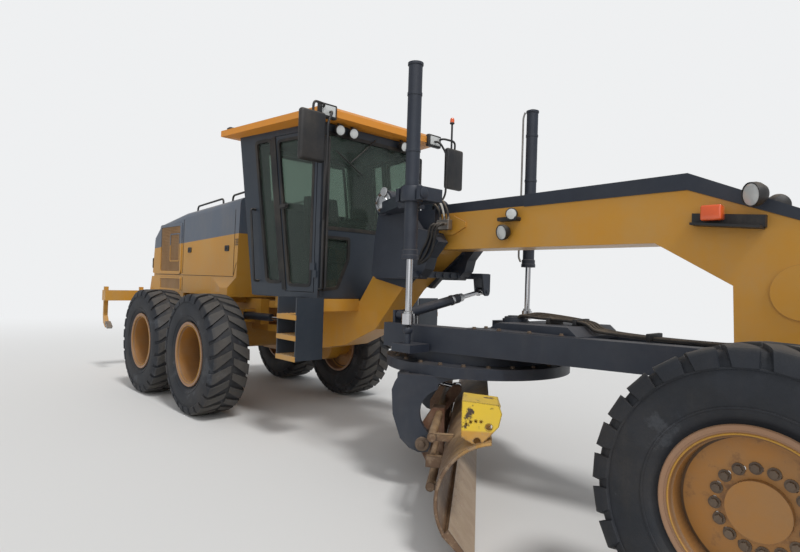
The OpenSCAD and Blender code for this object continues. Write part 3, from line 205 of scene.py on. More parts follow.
FADE = effect("Faded patches", [("Clean", COLOR, (0.6, 0.35, 0.05, 1)), ("Faded", COLOR, (0.6, 0.4, 0.12, 1)),
                                ("Amount", NUMBER, 0.5), ("Scale", NUMBER, 1.5)],
              [("Color", COLOR)], fade_nodes)
DUST = effect("Road dust", [("Color", COLOR, (0.5, 0.5, 0.5, 1)), ("Dust", COLOR, (0.42, 0.33, 0.24, 1)),
                            ("Sides", NUMBER, 0.2), ("Low", NUMBER, 0.4), ("Tops", NUMBER, 0.5)],
              [("Color", COLOR), ("Mask", NUMBER)], dust_nodes)
CHIPS = effect("Chipped paint", [("Color", COLOR, (0.5, 0.5, 0.5, 1)), ("Bare", COLOR, (0.12, 0.08, 0.05, 1)),
                                 ("Width", NUMBER, 0.006), ("Edges", NUMBER, 0.6), ("Scratches", NUMBER, 0.1)],
               [("Mask", NUMBER), ("Color", COLOR)], chip_nodes)
GRAIN = effect("Surface grain", [("Scale", NUMBER, 200.0), ("Dents", NUMBER, 1.0)],
               [("Height", NUMBER)], grain_nodes)

SANDY = (0.40, 0.31, 0.215, 1)
RUST = (0.115, 0.052, 0.028, 1)


def rgb(red, green, blue):
    """A colour written in the 0 to 255 of a screen, as the shader's linear one."""
    def linear(v):
        v /= 255
        return v / 12.92 if v <= 0.04045 else ((v + 0.055) / 1.055) ** 2.4
    return (linear(red), linear(green), linear(blue), 1)


def finish(name, clean, faded, fading=0.5, scale=1.5, bare=RUST, chips=0.5, scratches=0.08, edge=0.006,
           dust=SANDY, sides=0.2, low=0.4, tops=0.5, rough=0.45, dusty_rough=0.3, metallic=0.0, coat=0.0,
           grain=220.0, dents=1.0, bump=0.15, paint=None, bare_metal=0.0):
    """A worn finish: faded colour, chipped edges and scratches, then road dust. paint() may put its own
    colours in place of the faded one."""
    material = bpy.data.materials.new(name)
    material.use_nodes = True
    t = Tree(material.node_tree)
    shader = material.node_tree.nodes["Principled BSDF"]
    base = t.add("ShaderNodeGroup", node_tree=FADE)
    base.inputs["Clean"].default_value, base.inputs["Faded"].default_value = clean, faded
    base.inputs["Amount"].default_value, base.inputs["Scale"].default_value = fading, scale
    color = base.outputs["Color"]
    if paint:
        color = paint(t, color, t.add("ShaderNodeTexCoord").outputs["Object"])
    if chips or scratches:
        worn = t.add("ShaderNodeGroup", {"Color": color, "Bare": bare, "Width": edge, "Edges": chips,
                                         "Scratches": scratches}, node_tree=CHIPS)
        color, gone = worn.outputs["Color"], worn.outputs["Mask"]
    dirty = t.add("ShaderNodeGroup", {"Color": color, "Dust": dust, "Sides": sides, "Low": low, "Tops": tops},
                  node_tree=DUST)
    relief = t.add("ShaderNodeGroup", {"Scale": grain, "Dents": dents}, node_tree=GRAIN)
    bumped = t.add("ShaderNodeBump", {"Strength": bump, "Distance": 0.004, "Height": relief.outputs["Height"]})
    links = material.node_tree.links
    links.new(dirty.outputs["Color"], shader.inputs["Base Color"])
    links.new(t.math("MULTIPLY_ADD", dirty.outputs["Mask"], dusty_rough, rough, clamp=True),
              shader.inputs["Roughness"])
    links.new(bumped.outputs["Normal"], shader.inputs["Normal"])
    if bare_metal:
        links.new(t.math("MULTIPLY", gone, bare_metal), shader.inputs["Metallic"])
    else:
        shader.inputs["Metallic"].default_value = metallic
    shader.inputs["Coat Weight"].default_value = coat
    return material


# -------------------- finishes

YELLOW, PALE_YELLOW = rgb(200, 140, 34), rgb(192, 146, 70)


def from_axle(t, place):
    """Distance from the nearest axle, in the plane of the wheels."""
    spot = t.add("ShaderNodeSeparateXYZ", {0: place})
    high = t.math("SUBTRACT", spot.outputs["Z"], TYRE_R)
    reach = None
    for x in (WHEELBASE, TANDEM_X, -TANDEM_X):
        along = t.math("SUBTRACT", spot.outputs["X"], x - MID_X)
        far = t.math("SQRT", t.math("ADD", t.math("MULTIPLY", along, along), t.math("MULTIPLY", high, high)))
        reach = t.math("MINIMUM", reach, far) if reach else far
    return reach


def tread_dust(t, color, place):
    """Tan dust ground into the tread, and grey scuffs on the walls."""
    reach = from_axle(t, place)
    cloud = t.noise(7.0, 5.0, 0.65, place)
    scuffed = t.math("MULTIPLY", t.between(t.noise(4.5, 6.0, 0.7, place), 0.56, 0.66), 0.5)
    walls = t.blend(scuffed, color, rgb(74, 78, 84))
    tread = t.math("MULTIPLY", t.between(t.math("ADD", reach, t.math("MULTIPLY", cloud, 0.03)), 0.652, 0.69), 0.5)
    return t.blend(tread, walls, rgb(104, 99, 92))


def rim_rings(t, color, place):
    """Dusty flange, a painted highlight on the lock ring's bead inside it, a dark barrel, painted shade in the
    crevice at its foot, and rust-brown patches on the disc that also paint its shade.
    """
    reach = from_axle(t, place)
    ring = lambda low, high: t.math("MULTIPLY", t.between(reach, low, low + 0.003),
                                    t.math("SUBTRACT", 1.0, t.between(reach, high, high + 0.003)))
    rag = t.math("MULTIPLY", t.between(t.noise(8.0, 6.0, 0.7, place), 0.52, 0.66), 0.6)
    # Rust-brown patches on the disc; their colour also paints the shade the disc lies in.
    rust_and_painted_shade = t.blend(t.math("MULTIPLY", rag, ring(0.12, 0.29)), color, rgb(104, 70, 44))
    # Painted shade: a near-black band in the crevice where the lock ring meets the disc.
    painted_crevice_shade = t.blend(t.math("MULTIPLY", ring(0.287, 0.2985), 0.85), rust_and_painted_shade, rgb(36, 30, 27))
    barrel = t.blend(t.math("MULTIPLY", ring(0.3005, 0.3095), 0.7), painted_crevice_shade, rgb(98, 76, 58))
    # Painted highlight: a bright yellow band along the crown of the lock ring's bead.
    painted_bead_highlight = t.blend(t.math("MULTIPLY", ring(0.3115, 0.3185), 0.8), barrel, rgb(206, 156, 44))
    return t.blend(t.math("MULTIPLY", ring(0.3205, 0.38), 0.62), painted_bead_highlight, rgb(146, 118, 104))


def blade_wear_and_painted_light(t, color, place):
    """Brown polished steel low on the blade; on the bracket at the top, yellow paint lightened to painted sunlight,
    with dark brown patches of painted shade.
    """
    spot = t.add("ShaderNodeSeparateXYZ", {0: place})
    rag = t.math("MULTIPLY", t.noise(6.0, 6.0, 0.7, place), 0.30)
    high = t.math("ADD", spot.outputs["Z"], rag)
    browned = t.blend(t.between(high, 0.86, 0.70), color, rgb(104, 78, 56))
    worn = t.blend(t.math("MULTIPLY", t.between(t.noise(15.0, 6.0, 0.7, place), 0.52, 0.62), 0.6), browned,
                   rgb(150, 128, 104))
    # Painted sunlight and shade on the top: yellow brighter than the paint elsewhere, with dark brown patches
    # standing in for shade.
    fresh = t.blend(t.between(t.noise(7.0, 5.0, 0.65, place), 0.56, 0.62), rgb(226, 190, 46), rgb(58, 44, 34))
    return t.blend(t.between(spot.outputs["Z"], 0.735, 0.75), worn, fresh)


def hood_band(t, color, place):
    """The blue-grey band along the top of the hood, ahead of the grille."""
    spot = t.add("ShaderNodeSeparateXYZ", {0: place})
    high = t.between(t.math("SUBTRACT", spot.outputs["Z"], t.math("MULTIPLY", spot.outputs["X"], 0.045)),
                     2.10, 2.108)
    return t.blend(high, color, rgb(88, 98, 112))


PAINT = finish("Yellow paint", YELLOW, PALE_YELLOW, coat=0.15)
HOOD_PAINT = finish("Hood paint", YELLOW, PALE_YELLOW, coat=0.2, paint=hood_band, tops=0.35)
ROOF_PAINT = finish("Roof paint", rgb(222, 142, 38), rgb(206, 140, 62), fading=0.6, chips=0.1, sides=0.1,
                    rough=0.5, tops=0.25, grain=160.0)
CHARCOAL = finish("Charcoal paint", rgb(33, 39, 51), rgb(48, 55, 66), bare=rgb(104, 100, 98), chips=0.3,
                  dust=rgb(122, 114, 106), sides=0.07, low=0.16, tops=0.36, bare_metal=0.3)
CAB_PAINT = finish("Cab frame paint", rgb(42, 50, 60), rgb(56, 62, 70), chips=0.2, bare=rgb(104, 100, 98),
                   dust=rgb(126, 120, 110), sides=0.07, low=0.12, tops=0.3, rough=0.4)
BLACK = finish("Black plastic", rgb(22, 24, 28), rgb(34, 36, 40), chips=0.0, scratches=0.0, sides=0.12,
               low=0.3, tops=0.35, rough=0.5, grain=500.0)
RIM_PAINT = finish("Rim paint", rgb(176, 120, 50), rgb(166, 122, 72), fading=0.8, scale=4.0, chips=0.6,
                   sides=0.2, low=0.25, dust=rgb(150, 116, 84), bare=rgb(82, 58, 40), paint=rim_rings)
RUBBER = finish("Tyre rubber", rgb(24, 28, 35), rgb(38, 42, 50), scale=5.0, chips=0.0, scratches=0.0,
                dust=rgb(110, 98, 82), sides=0.12, low=0.16, tops=0.12, rough=0.68, dusty_rough=0.2,
                grain=120.0, bump=0.35, paint=tread_dust)
STEEL = finish("Worn steel", rgb(150, 148, 145), rgb(120, 112, 104), chips=0.3, bare=RUST, sides=0.3,
               low=0.5, rough=0.38, metallic=0.85, scale=6.0)
CHROME = finish("Chromed rod", rgb(196, 196, 198), rgb(180, 180, 182), chips=0.0, scratches=0.0, sides=0.06,
                low=0.06, tops=0.1, rough=0.12, metallic=1.0, bump=0.02)
BLADE_STEEL = finish("Worn blade with painted light", rgb(196, 142, 44), rgb(188, 152, 98), fading=0.9, scale=3.0,
                     bare=rgb(58, 48, 40), chips=0.9, scratches=0.5, sides=0.15, low=0.2, edge=0.014,
                     dust=rgb(168, 142, 112), bare_metal=0.4, paint=blade_wear_and_painted_light)
RUSTY = finish("Rust-brown steel", rgb(96, 58, 40), rgb(122, 82, 56), scale=5.0, chips=0.2, sides=0.35,
               bare=rgb(140, 110, 84), rough=0.7, bump=0.4)
CAST = finish("Engine iron", rgb(52, 52, 54), rgb(84, 78, 70), sides=0.5, low=0.3, rough=0.65)


def window_glass():
    """Tinted safety glass with a film of dust."""
    material = bpy.data.materials.new("Window glass")
    material.use_nodes = True
    t = Tree(material.node_tree)
    shader = material.node_tree.nodes["Principled BSDF"]
    film = t.add("ShaderNodeGroup", {"Color": (0.30, 0.38, 0.33, 1), "Dust": (0.42, 0.42, 0.38, 1), "Sides": 0.22,
                                     "Low": 0.1, "Tops": 0.2}, node_tree=DUST)
    material.node_tree.links.new(film.outputs["Color"], shader.inputs["Base Color"])
    rough = t.math("MULTIPLY_ADD", film.outputs["Mask"], 0.25, 0.03)
    material.node_tree.links.new(rough, shader.inputs["Roughness"])
    shader.inputs["Transmission Weight"].default_value = 0.92
    shader.inputs["IOR"].default_value = 1.3
    return material


GLASS = window_glass()

NODE_FINISH = [
    ("rim_", RIM_PAINT), ("tyre_", RUBBER), ("hood", HOOD_PAINT), ("engine", CAST), ("cab_shell", CAB_PAINT),
    ("cab_roof", ROOF_PAINT), ("cab_glass", GLASS), ("door_glass", GLASS), ("door_", CAB_PAINT),
    ("lamps", BLACK), ("frame_cover", CHARCOAL), ("saddle", CHARCOAL), ("drawbar", CHARCOAL),
    ("circle", CHARCOAL), ("blade_carrier", RUSTY), ("moldboard", BLADE_STEEL), ("lean_bar", CHARCOAL),
    ("tie_rod", CHARCOAL), ("steer_rod", CHROME), ("hitch_rod", CHROME), ("shift_rod", CHROME),
    ("tip_rod", CHROME), ("lift_rod", CHROME), ("ripper_rod", CHROME), ("steer_barrel", CHARCOAL),
    ("hitch_barrel", CHARCOAL), ("shift_barrel", CHARCOAL), ("tip_barrel", CHARCOAL),
    ("lift_barrel", CHARCOAL), ("ripper_barrel", CHARCOAL), ("", PAINT)]

for name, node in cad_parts.items():
    material = next(m for start, m in NODE_FINISH if name.startswith(start))
    node.data.materials.clear()
    node.data.materials.append(material)


# -------------------- mesh helpers

def meshed(name, build, merge=0.00005):
    """The mesh that build(bm) makes, its doubles merged and its faces turned outwards."""
    bm = bmesh.new()
    build(bm)
    bmesh.ops.remove_doubles(bm, verts=bm.verts, dist=merge)
    bmesh.ops.recalc_face_normals(bm, faces=bm.faces)
    mesh = bpy.data.meshes.new(name)
    bm.to_mesh(mesh)
    bm.free()
    return mesh


def mounted(name, mesh, body, material, slot, smooth=40, bevel=0.0, replaces=()):
    """A finished mesh as an object that rides on a body."""
    mesh.name = name
    mesh.polygons.foreach_set("use_smooth", [True] * len(mesh.polygons))
    mesh.set_sharp_from_angle(angle=radians(smooth))
    mesh.materials.clear()
    mesh.materials.append(material)
    thing = bpy.data.objects.new(name, mesh)
    bpy.context.scene.collection.objects.link(thing)
    if bevel:
        edge = thing.modifiers.new("Rounded edges", "BEVEL")
        edge.width, edge.segments, edge.limit_method = bevel, 2, "ANGLE"
        edge.angle_limit = radians(32)
    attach(thing, body)
    if replaces:
        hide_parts(*replaces)
    return thing


def piece(name, build, body, material, slot, smooth=40, bevel=0.0):
    """One piece of the dressed machine: build(bm) makes its mesh in place."""
    return mounted(name, meshed(name, build), body, material, slot, smooth, bevel)


def box(bm, low, high):
    """A box between two corners, in the tandem's frame."""
    a, b = at(*low), at(*high)
    spots = [bm.verts.new((x, y, z)) for x in (a.x, b.x) for y in (a.y, b.y) for z in (a.z, b.z)]
    for face in ((0, 1, 3, 2), (4, 6, 7, 5), (0, 4, 5, 1), (2, 3, 7, 6), (0, 2, 6, 4), (1, 5, 7, 3)):
        bm.faces.new([spots[i] for i in face])


def plate(bm, outline, depth, place):
    """An outline of (u, v) pairs, drawn out between two depths; place turns (u, v, depth) into the frame."""
    near = [bm.verts.new(place(u, v, depth[0])) for u, v in outline]
    far = [bm.verts.new(place(u, v, depth[1])) for u, v in outline]
    bm.faces.new(near)
    bm.faces.new(far[::-1])
    for i in range(len(outline)):
        j = (i + 1) % len(outline)
        bm.faces.new((near[i], far[i], far[j], near[j]))


def upright(u, v, d):
    """Outline in X and Z, drawn out along Y."""
    return at(u, d, v)


def across(u, v, d):
    """Outline in Y and Z, drawn out along X."""
    return at(d, u, v)


def frame_of(start, end):
    """A turn that takes +Z from one point towards another, set at the first."""
    run = Vector(end) - Vector(start)
    return Matrix.Translation(start) @ run.to_track_quat("Z", "Y").to_matrix().to_4x4(), run.length


def turned(bm, profile, start, end, segments=32, caps=True):
    """A profile of (distance, radius) pairs revolved round the line from start towards end."""
    place, _ = frame_of(at(*start), at(*end))
    rings = []
    for height, radius in profile:
        if radius < 1e-5:
            rings.append([bm.verts.new(place @ Vector((0, 0, height)))])
        else:
            rings.append([bm.verts.new(place @ Vector((radius * cos(2 * pi * i / segments),
                                                       radius * sin(2 * pi * i / segments), height)))
                          for i in range(segments)])
    for lower, upper in zip(rings, rings[1:]):
        for i in range(segments):
            j = (i + 1) % segments
            corners = [lower[i % len(lower)], lower[j % len(lower)], upper[j % len(upper)], upper[i % len(upper)]]
            corners = list(dict.fromkeys(corners))
            if len(corners) > 2:
                bm.faces.new(corners)
    if caps:
        for ring in (rings[0], rings[-1]):
            if len(ring) > 2:
                bm.faces.new(ring)


def turned_up(bm, profile, spot, segments):
    """A profile revolved round an upright line through a spot."""
    x, y, _ = spot
    turned(bm, profile, spot, (x, y, 5), segments)


def turned_out(bm, profile, spot, side, segments):
    """A profile revolved round a line that runs outwards through a spot, on the left or right."""
    x, _, z = spot
    turned(bm, profile, spot, (x, side * 5, z), segments)


def rod(bm, start, end, radius, segments=16):
    """A round bar with slightly broken ends."""
    length = (Vector(end) - Vector(start)).length
    c = min(radius * 0.15, 0.003)
    turned(bm, [(0, radius - c), (c, radius), (length - c, radius), (length, radius - c)], start, end, segments)


def smooth_line(points, steps=8):
    """Points on a Catmull-Rom curve through the given ones."""
    given = [Vector(q) for q in points]
    run = []
    for i in range(len(given) - 1):
        a, b = given[i], given[i + 1]
        before = given[i - 1] if i else a * 2 - b
        after = given[i + 2] if i + 2 < len(given) else b * 2 - a
        for k in range(steps):
            t = k / steps
            run.append(0.5 * ((2 * a) + (b - before) * t + (2 * before - 5 * a + 4 * b - after) * t * t
                              + (3 * a - before - 3 * b + after) * t ** 3))
    return run + [given[-1]]


def rounded_line(points, radius, steps=5):
    """A path of straight runs whose corners are bent to a radius."""
    given = [Vector(q) for q in points]
    run = [given[0]]
    for before, corner, after in zip(given, given[1:], given[2:]):
        back, ahead = (before - corner), (after - corner)
        reach = min(radius, back.length * 0.45, ahead.length * 0.45)
        start, end = corner + back.normalized() * reach, corner + ahead.normalized() * reach
        for k in range(steps + 1):
            t = k / steps
            run.append(start * (1 - t) ** 2 + corner * 2 * t * (1 - t) + end * t * t)
    return run + [given[-1]]


# -------------------- repeats by geometry nodes

class Repeats(Tree):
    """A geometry-node tree with named inputs that ends in Realize Instances and Set Material."""

    def __init__(self, name, inputs):
        tree = bpy.data.node_groups.new(name, "GeometryNodeTree")
        super().__init__(tree)
        tree.interface.new_socket("Geometry", in_out="INPUT", socket_type="NodeSocketGeometry")
        for label, kind in inputs:
            tree.interface.new_socket(label, in_out="INPUT", socket_type=kind)
        tree.interface.new_socket("Material", in_out="INPUT", socket_type="NodeSocketMaterial")
        tree.interface.new_socket("Geometry", in_out="OUTPUT", socket_type="NodeSocketGeometry")
        self.given = tree.nodes.new("NodeGroupInput").outputs
        self.leave = tree.nodes.new("NodeGroupOutput")

    def close(self, geometry):
        real = self.add("GeometryNodeRealizeInstances", {0: geometry})
        done = self.add("GeometryNodeSetMaterial", {"Geometry": real.outputs[0], "Material": self.given["Material"]})
        self.tree.links.new(done.outputs[0], self.leave.inputs[0])
        return self.tree

    def part(self):
        return self.add("GeometryNodeObjectInfo", {"Object": self.given["Part"]}).outputs["Geometry"]


def ring_tree():
    """Copies of a part set evenly round the Z axis, from a first turn on."""
    t = Repeats("Ring of parts", [("Part", "NodeSocketObject"), ("Count", "NodeSocketInt"),
                                  ("First turn", "NodeSocketFloat")])
    dots = t.add("GeometryNodeMeshLine", {"Count": t.given["Count"], "Offset": (0, 0, 0)})
    index = t.add("GeometryNodeInputIndex").outputs[0]
    turn = t.math("DIVIDE", t.math("MULTIPLY", index, 2 * pi), t.given["Count"])
    angle = t.math("ADD", turn, t.given["First turn"])
    way = t.add("ShaderNodeCombineXYZ", {"Z": angle})
    copies = t.add("GeometryNodeInstanceOnPoints", {"Points": dots.outputs[0], "Instance": t.part(),
                                                    "Rotation": way.outputs[0]})
    return t.close(copies.outputs[0])


def spots_tree():
    """A copy of a part on each point of a mesh, its Z axis along the point's own "way"."""
    t = Repeats("Parts on spots", [("Part", "NodeSocketObject"), ("Size", "NodeSocketFloat")])
    way = t.add("GeometryNodeInputNamedAttribute", {"Name": "way"}, data_type="FLOAT_VECTOR")
    turn = t.add("FunctionNodeAlignRotationToVector", {"Vector": way.outputs[0]}, axis="Z")
    copies = t.add("GeometryNodeInstanceOnPoints", {"Points": t.given["Geometry"], "Instance": t.part(),
                                                    "Rotation": turn.outputs[0], "Scale": t.given["Size"]})
    return t.close(copies.outputs[0])


def tube_tree():
    """A round tube along each curve."""
    t = Repeats("Tube on a path", [("Radius", "NodeSocketFloat"), ("Sides", "NodeSocketInt")])
    ring = t.add("GeometryNodeCurvePrimitiveCircle", {"Resolution": t.given["Sides"], "Radius": t.given["Radius"]})
    body = t.add("GeometryNodeCurveToMesh", {"Curve": t.given["Geometry"], "Profile Curve": ring.outputs[0],
                                             "Fill Caps": True})
    return t.close(body.outputs[0])


RING, SPOTS, TUBE = ring_tree(), spots_tree(), tube_tree()


def grown(carrier, tree, values):
    """The mesh that a tree makes on an object, which is then thrown away."""
    bpy.context.scene.collection.objects.link(carrier)
    modifier = carrier.modifiers.new("Growth", "NODES")
    modifier.node_group = tree
    for item in tree.interface.items_tree:
        if item.in_out == "INPUT" and item.name in values:
            modifier[item.identifier] = values[item.name]
    bpy.context.view_layer.update()
    mesh = bpy.data.meshes.new_from_object(carrier.evaluated_get(bpy.context.evaluated_depsgraph_get()))
    data = carrier.data
    bpy.data.objects.remove(carrier)
    (bpy.data.curves if isinstance(data, bpy.types.Curve) else bpy.data.meshes).remove(data)
    return mesh


def template(build):
    """A small part that the trees copy; it is not in the scene itself."""
    mesh = meshed("Template", build, 0.00002)
    mesh.polygons.foreach_set("use_smooth", [False] * len(mesh.polygons))
    return bpy.data.objects.new("Template", mesh)


def round_about(part, count, first, place, material):
    """A ring of copies of a part, moved to its place."""
    carrier = bpy.data.objects.new("Carrier", bpy.data.meshes.new("Carrier"))
    mesh = grown(carrier, RING, {"Part": part, "Count": count, "First turn": first, "Material": material})
    mesh.transform(place)
    return mesh


def on_spots(part, spots, material, size=1.0):
    """A copy of a part on each (place, way) pair, both in the tandem's frame."""
    points = bpy.data.meshes.new("Spots")
    points.from_pydata([at(*place) for place, _ in spots], [], [])
    ways = points.attributes.new("way", "FLOAT_VECTOR", "POINT")
    ways.data.foreach_set("vector", [value for _, way in spots for value in way])
    carrier = bpy.data.objects.new("Carrier", points)
    return grown(carrier, SPOTS, {"Part": part, "Size": size, "Material": material})


def tubes(paths, radius, material, sides=12):
    """Round tubes along paths of points in the tandem's frame."""
    curve = bpy.data.curves.new("Paths", "CURVE")
    curve.dimensions = "3D"
    for path in paths:
        line = curve.splines.new("POLY")
        line.points.add(len(path) - 1)
        for point, place in zip(line.points, path):
            point.co = (*at(*place), 1)
    carrier = bpy.data.objects.new("Carrier", curve)
    return grown(carrier, TUBE, {"Radius": radius, "Sides": sides, "Material": material})


def joined(name, meshes, body, material, slot, smooth=40, **more):
    """Several plain meshes as one piece."""
    bm = bmesh.new()
    for mesh in meshes:
        bm.from_mesh(mesh)
        bpy.data.meshes.remove(mesh)
    whole = bpy.data.meshes.new(name)
    bm.to_mesh(whole)
    bm.free()
    return mounted(name, whole, body, material, slot, smooth, **more)


def piping(name, paths, radius, material, sides, body, slot="black_plastic", **more):
    """Tubes along paths as one piece."""
    return joined(name, [tubes(paths, radius, material, sides)], body, material, slot, 60, **more)


def studs(name, part, spots, body, material, slot="charcoal_paint", size=1.0):
    """Copies of a small part on spots as one piece."""
    return joined(name, [on_spots(part, spots, material, size)], body, material, slot, 30)


def hex_head(bm, size=0.012, washer=1.25):
    """A bolt's six-sided head on its washer, along Z, made one unit of size across."""
    for radius, low, high, sides in ((size * washer, 0, size * 0.25, 16), (size, size * 0.25, size * 1.0, 6)):
        ring = [[bm.verts.new((radius * cos(2 * pi * i / sides), radius * sin(2 * pi * i / sides), z))
                 for i in range(sides)] for z in (low, high)]
        for i in range(sides):
            j = (i + 1) % sides
            bm.faces.new((ring[0][i], ring[0][j], ring[1][j], ring[1][i]))
        bm.faces.new(ring[1])
        bm.faces.new(ring[0][::-1])


BOLT = template(hex_head)


# -------------------- wheels

NUT_STEEL = finish("Wheel nut steel", rgb(92, 78, 66), rgb(116, 98, 82), chips=0.2, scratches=0.0, sides=0.2,
                   rough=0.55, metallic=0.3)
AXLES = {"front_left": (WHEELBASE, FRONT_Y), "front_right": (WHEELBASE, -FRONT_Y),
         "mid_left": (TANDEM_X, REAR_Y), "mid_right": (TANDEM_X, -REAR_Y),
         "rear_left": (-TANDEM_X, REAR_Y), "rear_right": (-TANDEM_X, -REAR_Y)}
LUG_COUNT, NUT_COUNT = 26, 16


def tread_lug(bm):
    """One block of the tread, from beside the middle over the shoulder, its axle along Z."""
    half = TYRE_W / 2
    rows = []
    shoulder = 0.72
    for k in range(9):
        t = k / 8
        if t < shoulder:
            s = t / shoulder
            y, top, low = 0.012 + s * (half - 0.045), TYRE_R - 0.0012 - 0.006 * s ** 2, TYRE_R - 0.036
            angle, width = 0.02 + s * 0.155, 0.034 + 0.026 * s
        else:
            s = (t - shoulder) / (1 - shoulder)
            y, top = half - 0.033 + 0.031 * sin(s * pi / 2), TYRE_R - 0.0072 - 0.080 * s ** 1.35
            low, angle, width = top - 0.034 + 0.022 * s, 0.175 + 0.02 * s, 0.060 - 0.008 * s
        ends = []
        for side in (-1, 1):
            turn = angle + side * width / TYRE_R
            for radius, tuck in ((low, 0.004 * side), (top, 0.0)):
                spread = turn + tuck / TYRE_R
                sunk = 0.012 * max(0, (t - shoulder) / (1 - shoulder)) if radius == low else 0
                ends.append(bm.verts.new((radius * cos(spread), radius * sin(spread), y - sunk)))
        rows.append(ends)
    for one, two in zip(rows, rows[1:]):
        for i, j in ((0, 1), (1, 3), (3, 2), (2, 0)):
            bm.faces.new((one[i], one[j], two[j], two[i]))
    for row in (rows[0], rows[-1]):
        bm.faces.new((row[0], row[1], row[3], row[2]))


def mirrored_lug(bm):
    """The same block on the other half of the tyre."""
    tread_lug(bm)
    for vert in bm.verts:
        vert.co.z = -vert.co.z


LUGS = (template(tread_lug), template(mirrored_lug))
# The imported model's own origin and a point over it, for what is made there and then moved
ORIGIN, ORIGIN_UP = (MID_X, 0, 0), (MID_X, 0, 1)


def tyre(name, x, y):
    """A tyre with its block tread on a smooth casing."""
    casing = TYRE_R - 0.021
    wall = [(0.3442, -0.174), (0.357, -0.1742), (0.369, -0.178), (0.385, -0.196), (0.41, -0.208), (0.45, -0.2165),
            (0.50, -0.2185), (0.55, -0.2145), (0.595, -0.203), (0.625, -0.184), (casing - 0.005, -0.160)]
    line = wall + [(casing + 0.002, 0.0)] + [(r, -z) for r, z in reversed(wall)]

    def build(bm):
        turned(bm, [(z, r) for r, z in line] + [(line[0][1], line[0][0])], ORIGIN, ORIGIN_UP, 96, False)
        for radius in (0.42, 0.575):
            for side in (-1, 1):
                turned(bm, [(side * 0.2105 + d, radius + r) for d, r in
                            ((0, -0.006), (side * 0.004, -0.003), (side * 0.0045, 0.003), (0, 0.006), (0, -0.006))],
                       ORIGIN, ORIGIN_UP, 96, False)
    parts = [meshed("Casing", build)] + [round_about(lug, LUG_COUNT, first, Matrix.Identity(4), RUBBER)
                                         for lug, first in zip(LUGS, (0.0, pi / LUG_COUNT))]
    for part in parts:
        part.transform(Matrix.Translation(at(x, y, TYRE_R)) @ Matrix.Rotation(-pi / 2, 4, "X"))
    joined("Tyre_" + name, parts, "wheel_" + name, RUBBER, "tyre", 32, replaces=("tyre_" + name,))


def lock_rings(bm, x, side, y, floor):
    """The rim's sloping flange, its lock ring and the lip down to the disc."""
    line = [(0.1965, 0.3535), (0.2000, 0.3500), (0.1990, 0.3380), (0.1925, 0.3235), (0.1920, 0.3200),
            (0.1965, 0.3185), (0.1975, 0.3150), (0.1950, 0.3115), (0.1880, 0.3105), (0.1800, 0.3090),
            (0.1740, 0.3050), (0.1720, 0.3010), (floor, 0.2995), (floor, 0.3150), (0.1700, 0.3250), (0.1850, 0.3480)]
    turned(bm, line + line[:1], (x, y, TYRE_R), (x, y + side, TYRE_R), 96, False)


def wheel_fittings(name, x, y):
    """Rings of the rim and the nuts round the hub."""
    side = 1 if y > 0 else -1
    floor, disc = (0.09, 0.084) if "front" in name else (-0.06, -0.066)
    piece("Lock_rings_" + name, lambda bm: lock_rings(bm, x, side, y, floor), "wheel_" + name, RIM_PAINT, "rim", 30)
    out = Matrix.Translation(at(x, y, TYRE_R)) @ Matrix.Rotation(-side * pi / 2, 4, "X")
    nut = template(lambda bm: [hex_head(bm, 0.0175, 1.45),
                               bmesh.ops.translate(bm, verts=bm.verts, vec=(0.165, 0, 0))])
    mesh = round_about(nut, NUT_COUNT, 0.1, out @ Matrix.Translation((0, 0, disc - 0.0005)), NUT_STEEL)
    mounted("Wheel_nuts_" + name, mesh, "wheel_" + name, NUT_STEEL, "rim")


for wheel, (x, y) in AXLES.items():
    tyre(wheel, x, y)
    wheel_fittings(wheel, x, y)


# -------------------- more finishes

SCREEN = finish("Dusty grille", rgb(140, 104, 62), rgb(160, 122, 78), chips=0.2, scratches=0.05, sides=0.4,
                rough=0.7, scale=4.0)
HOSE = finish("Hose rubber", rgb(20, 20, 22), rgb(36, 36, 38), chips=0.0, scratches=0.0, sides=0.2, tops=0.5,
              rough=0.6, grain=600.0)
SEAL = finish("Window seal", rgb(16, 17, 19), rgb(26, 27, 30), chips=0.0, scratches=0.0, sides=0.15,
              tops=0.3, rough=0.55)
SILVER = finish("Bare silver", rgb(188, 190, 192), rgb(168, 168, 168), chips=0.1, sides=0.1, low=0.1,
                tops=0.2, rough=0.25, metallic=0.9)
LENS = finish("Lamp lens", rgb(206, 208, 206), rgb(188, 190, 188), chips=0.0, scratches=0.0, sides=0.1,
              tops=0.1, rough=0.08, coat=0.8, grain=60.0, bump=0.05)
AMBER = finish("Amber lens", rgb(232, 92, 28), rgb(220, 84, 30), chips=0.0, scratches=0.0, sides=0.1,
               tops=0.1, rough=0.12, coat=0.8)
WHITE_HOSE = finish("Pale hose", rgb(206, 204, 196), rgb(190, 184, 172), chips=0.0, scratches=0.0, sides=0.15)
TREAD = finish("Step tread", rgb(196, 142, 48), rgb(180, 140, 84), chips=0.8, bare=rgb(64, 54, 46), sides=0.4,
               tops=0.6, rough=0.55)
BOLT_STEEL = finish("Bolt steel", rgb(96, 82, 70), rgb(120, 100, 84), chips=0.2, scratches=0.0, sides=0.3,
                    rough=0.55, metallic=0.4)


# -------------------- outlines

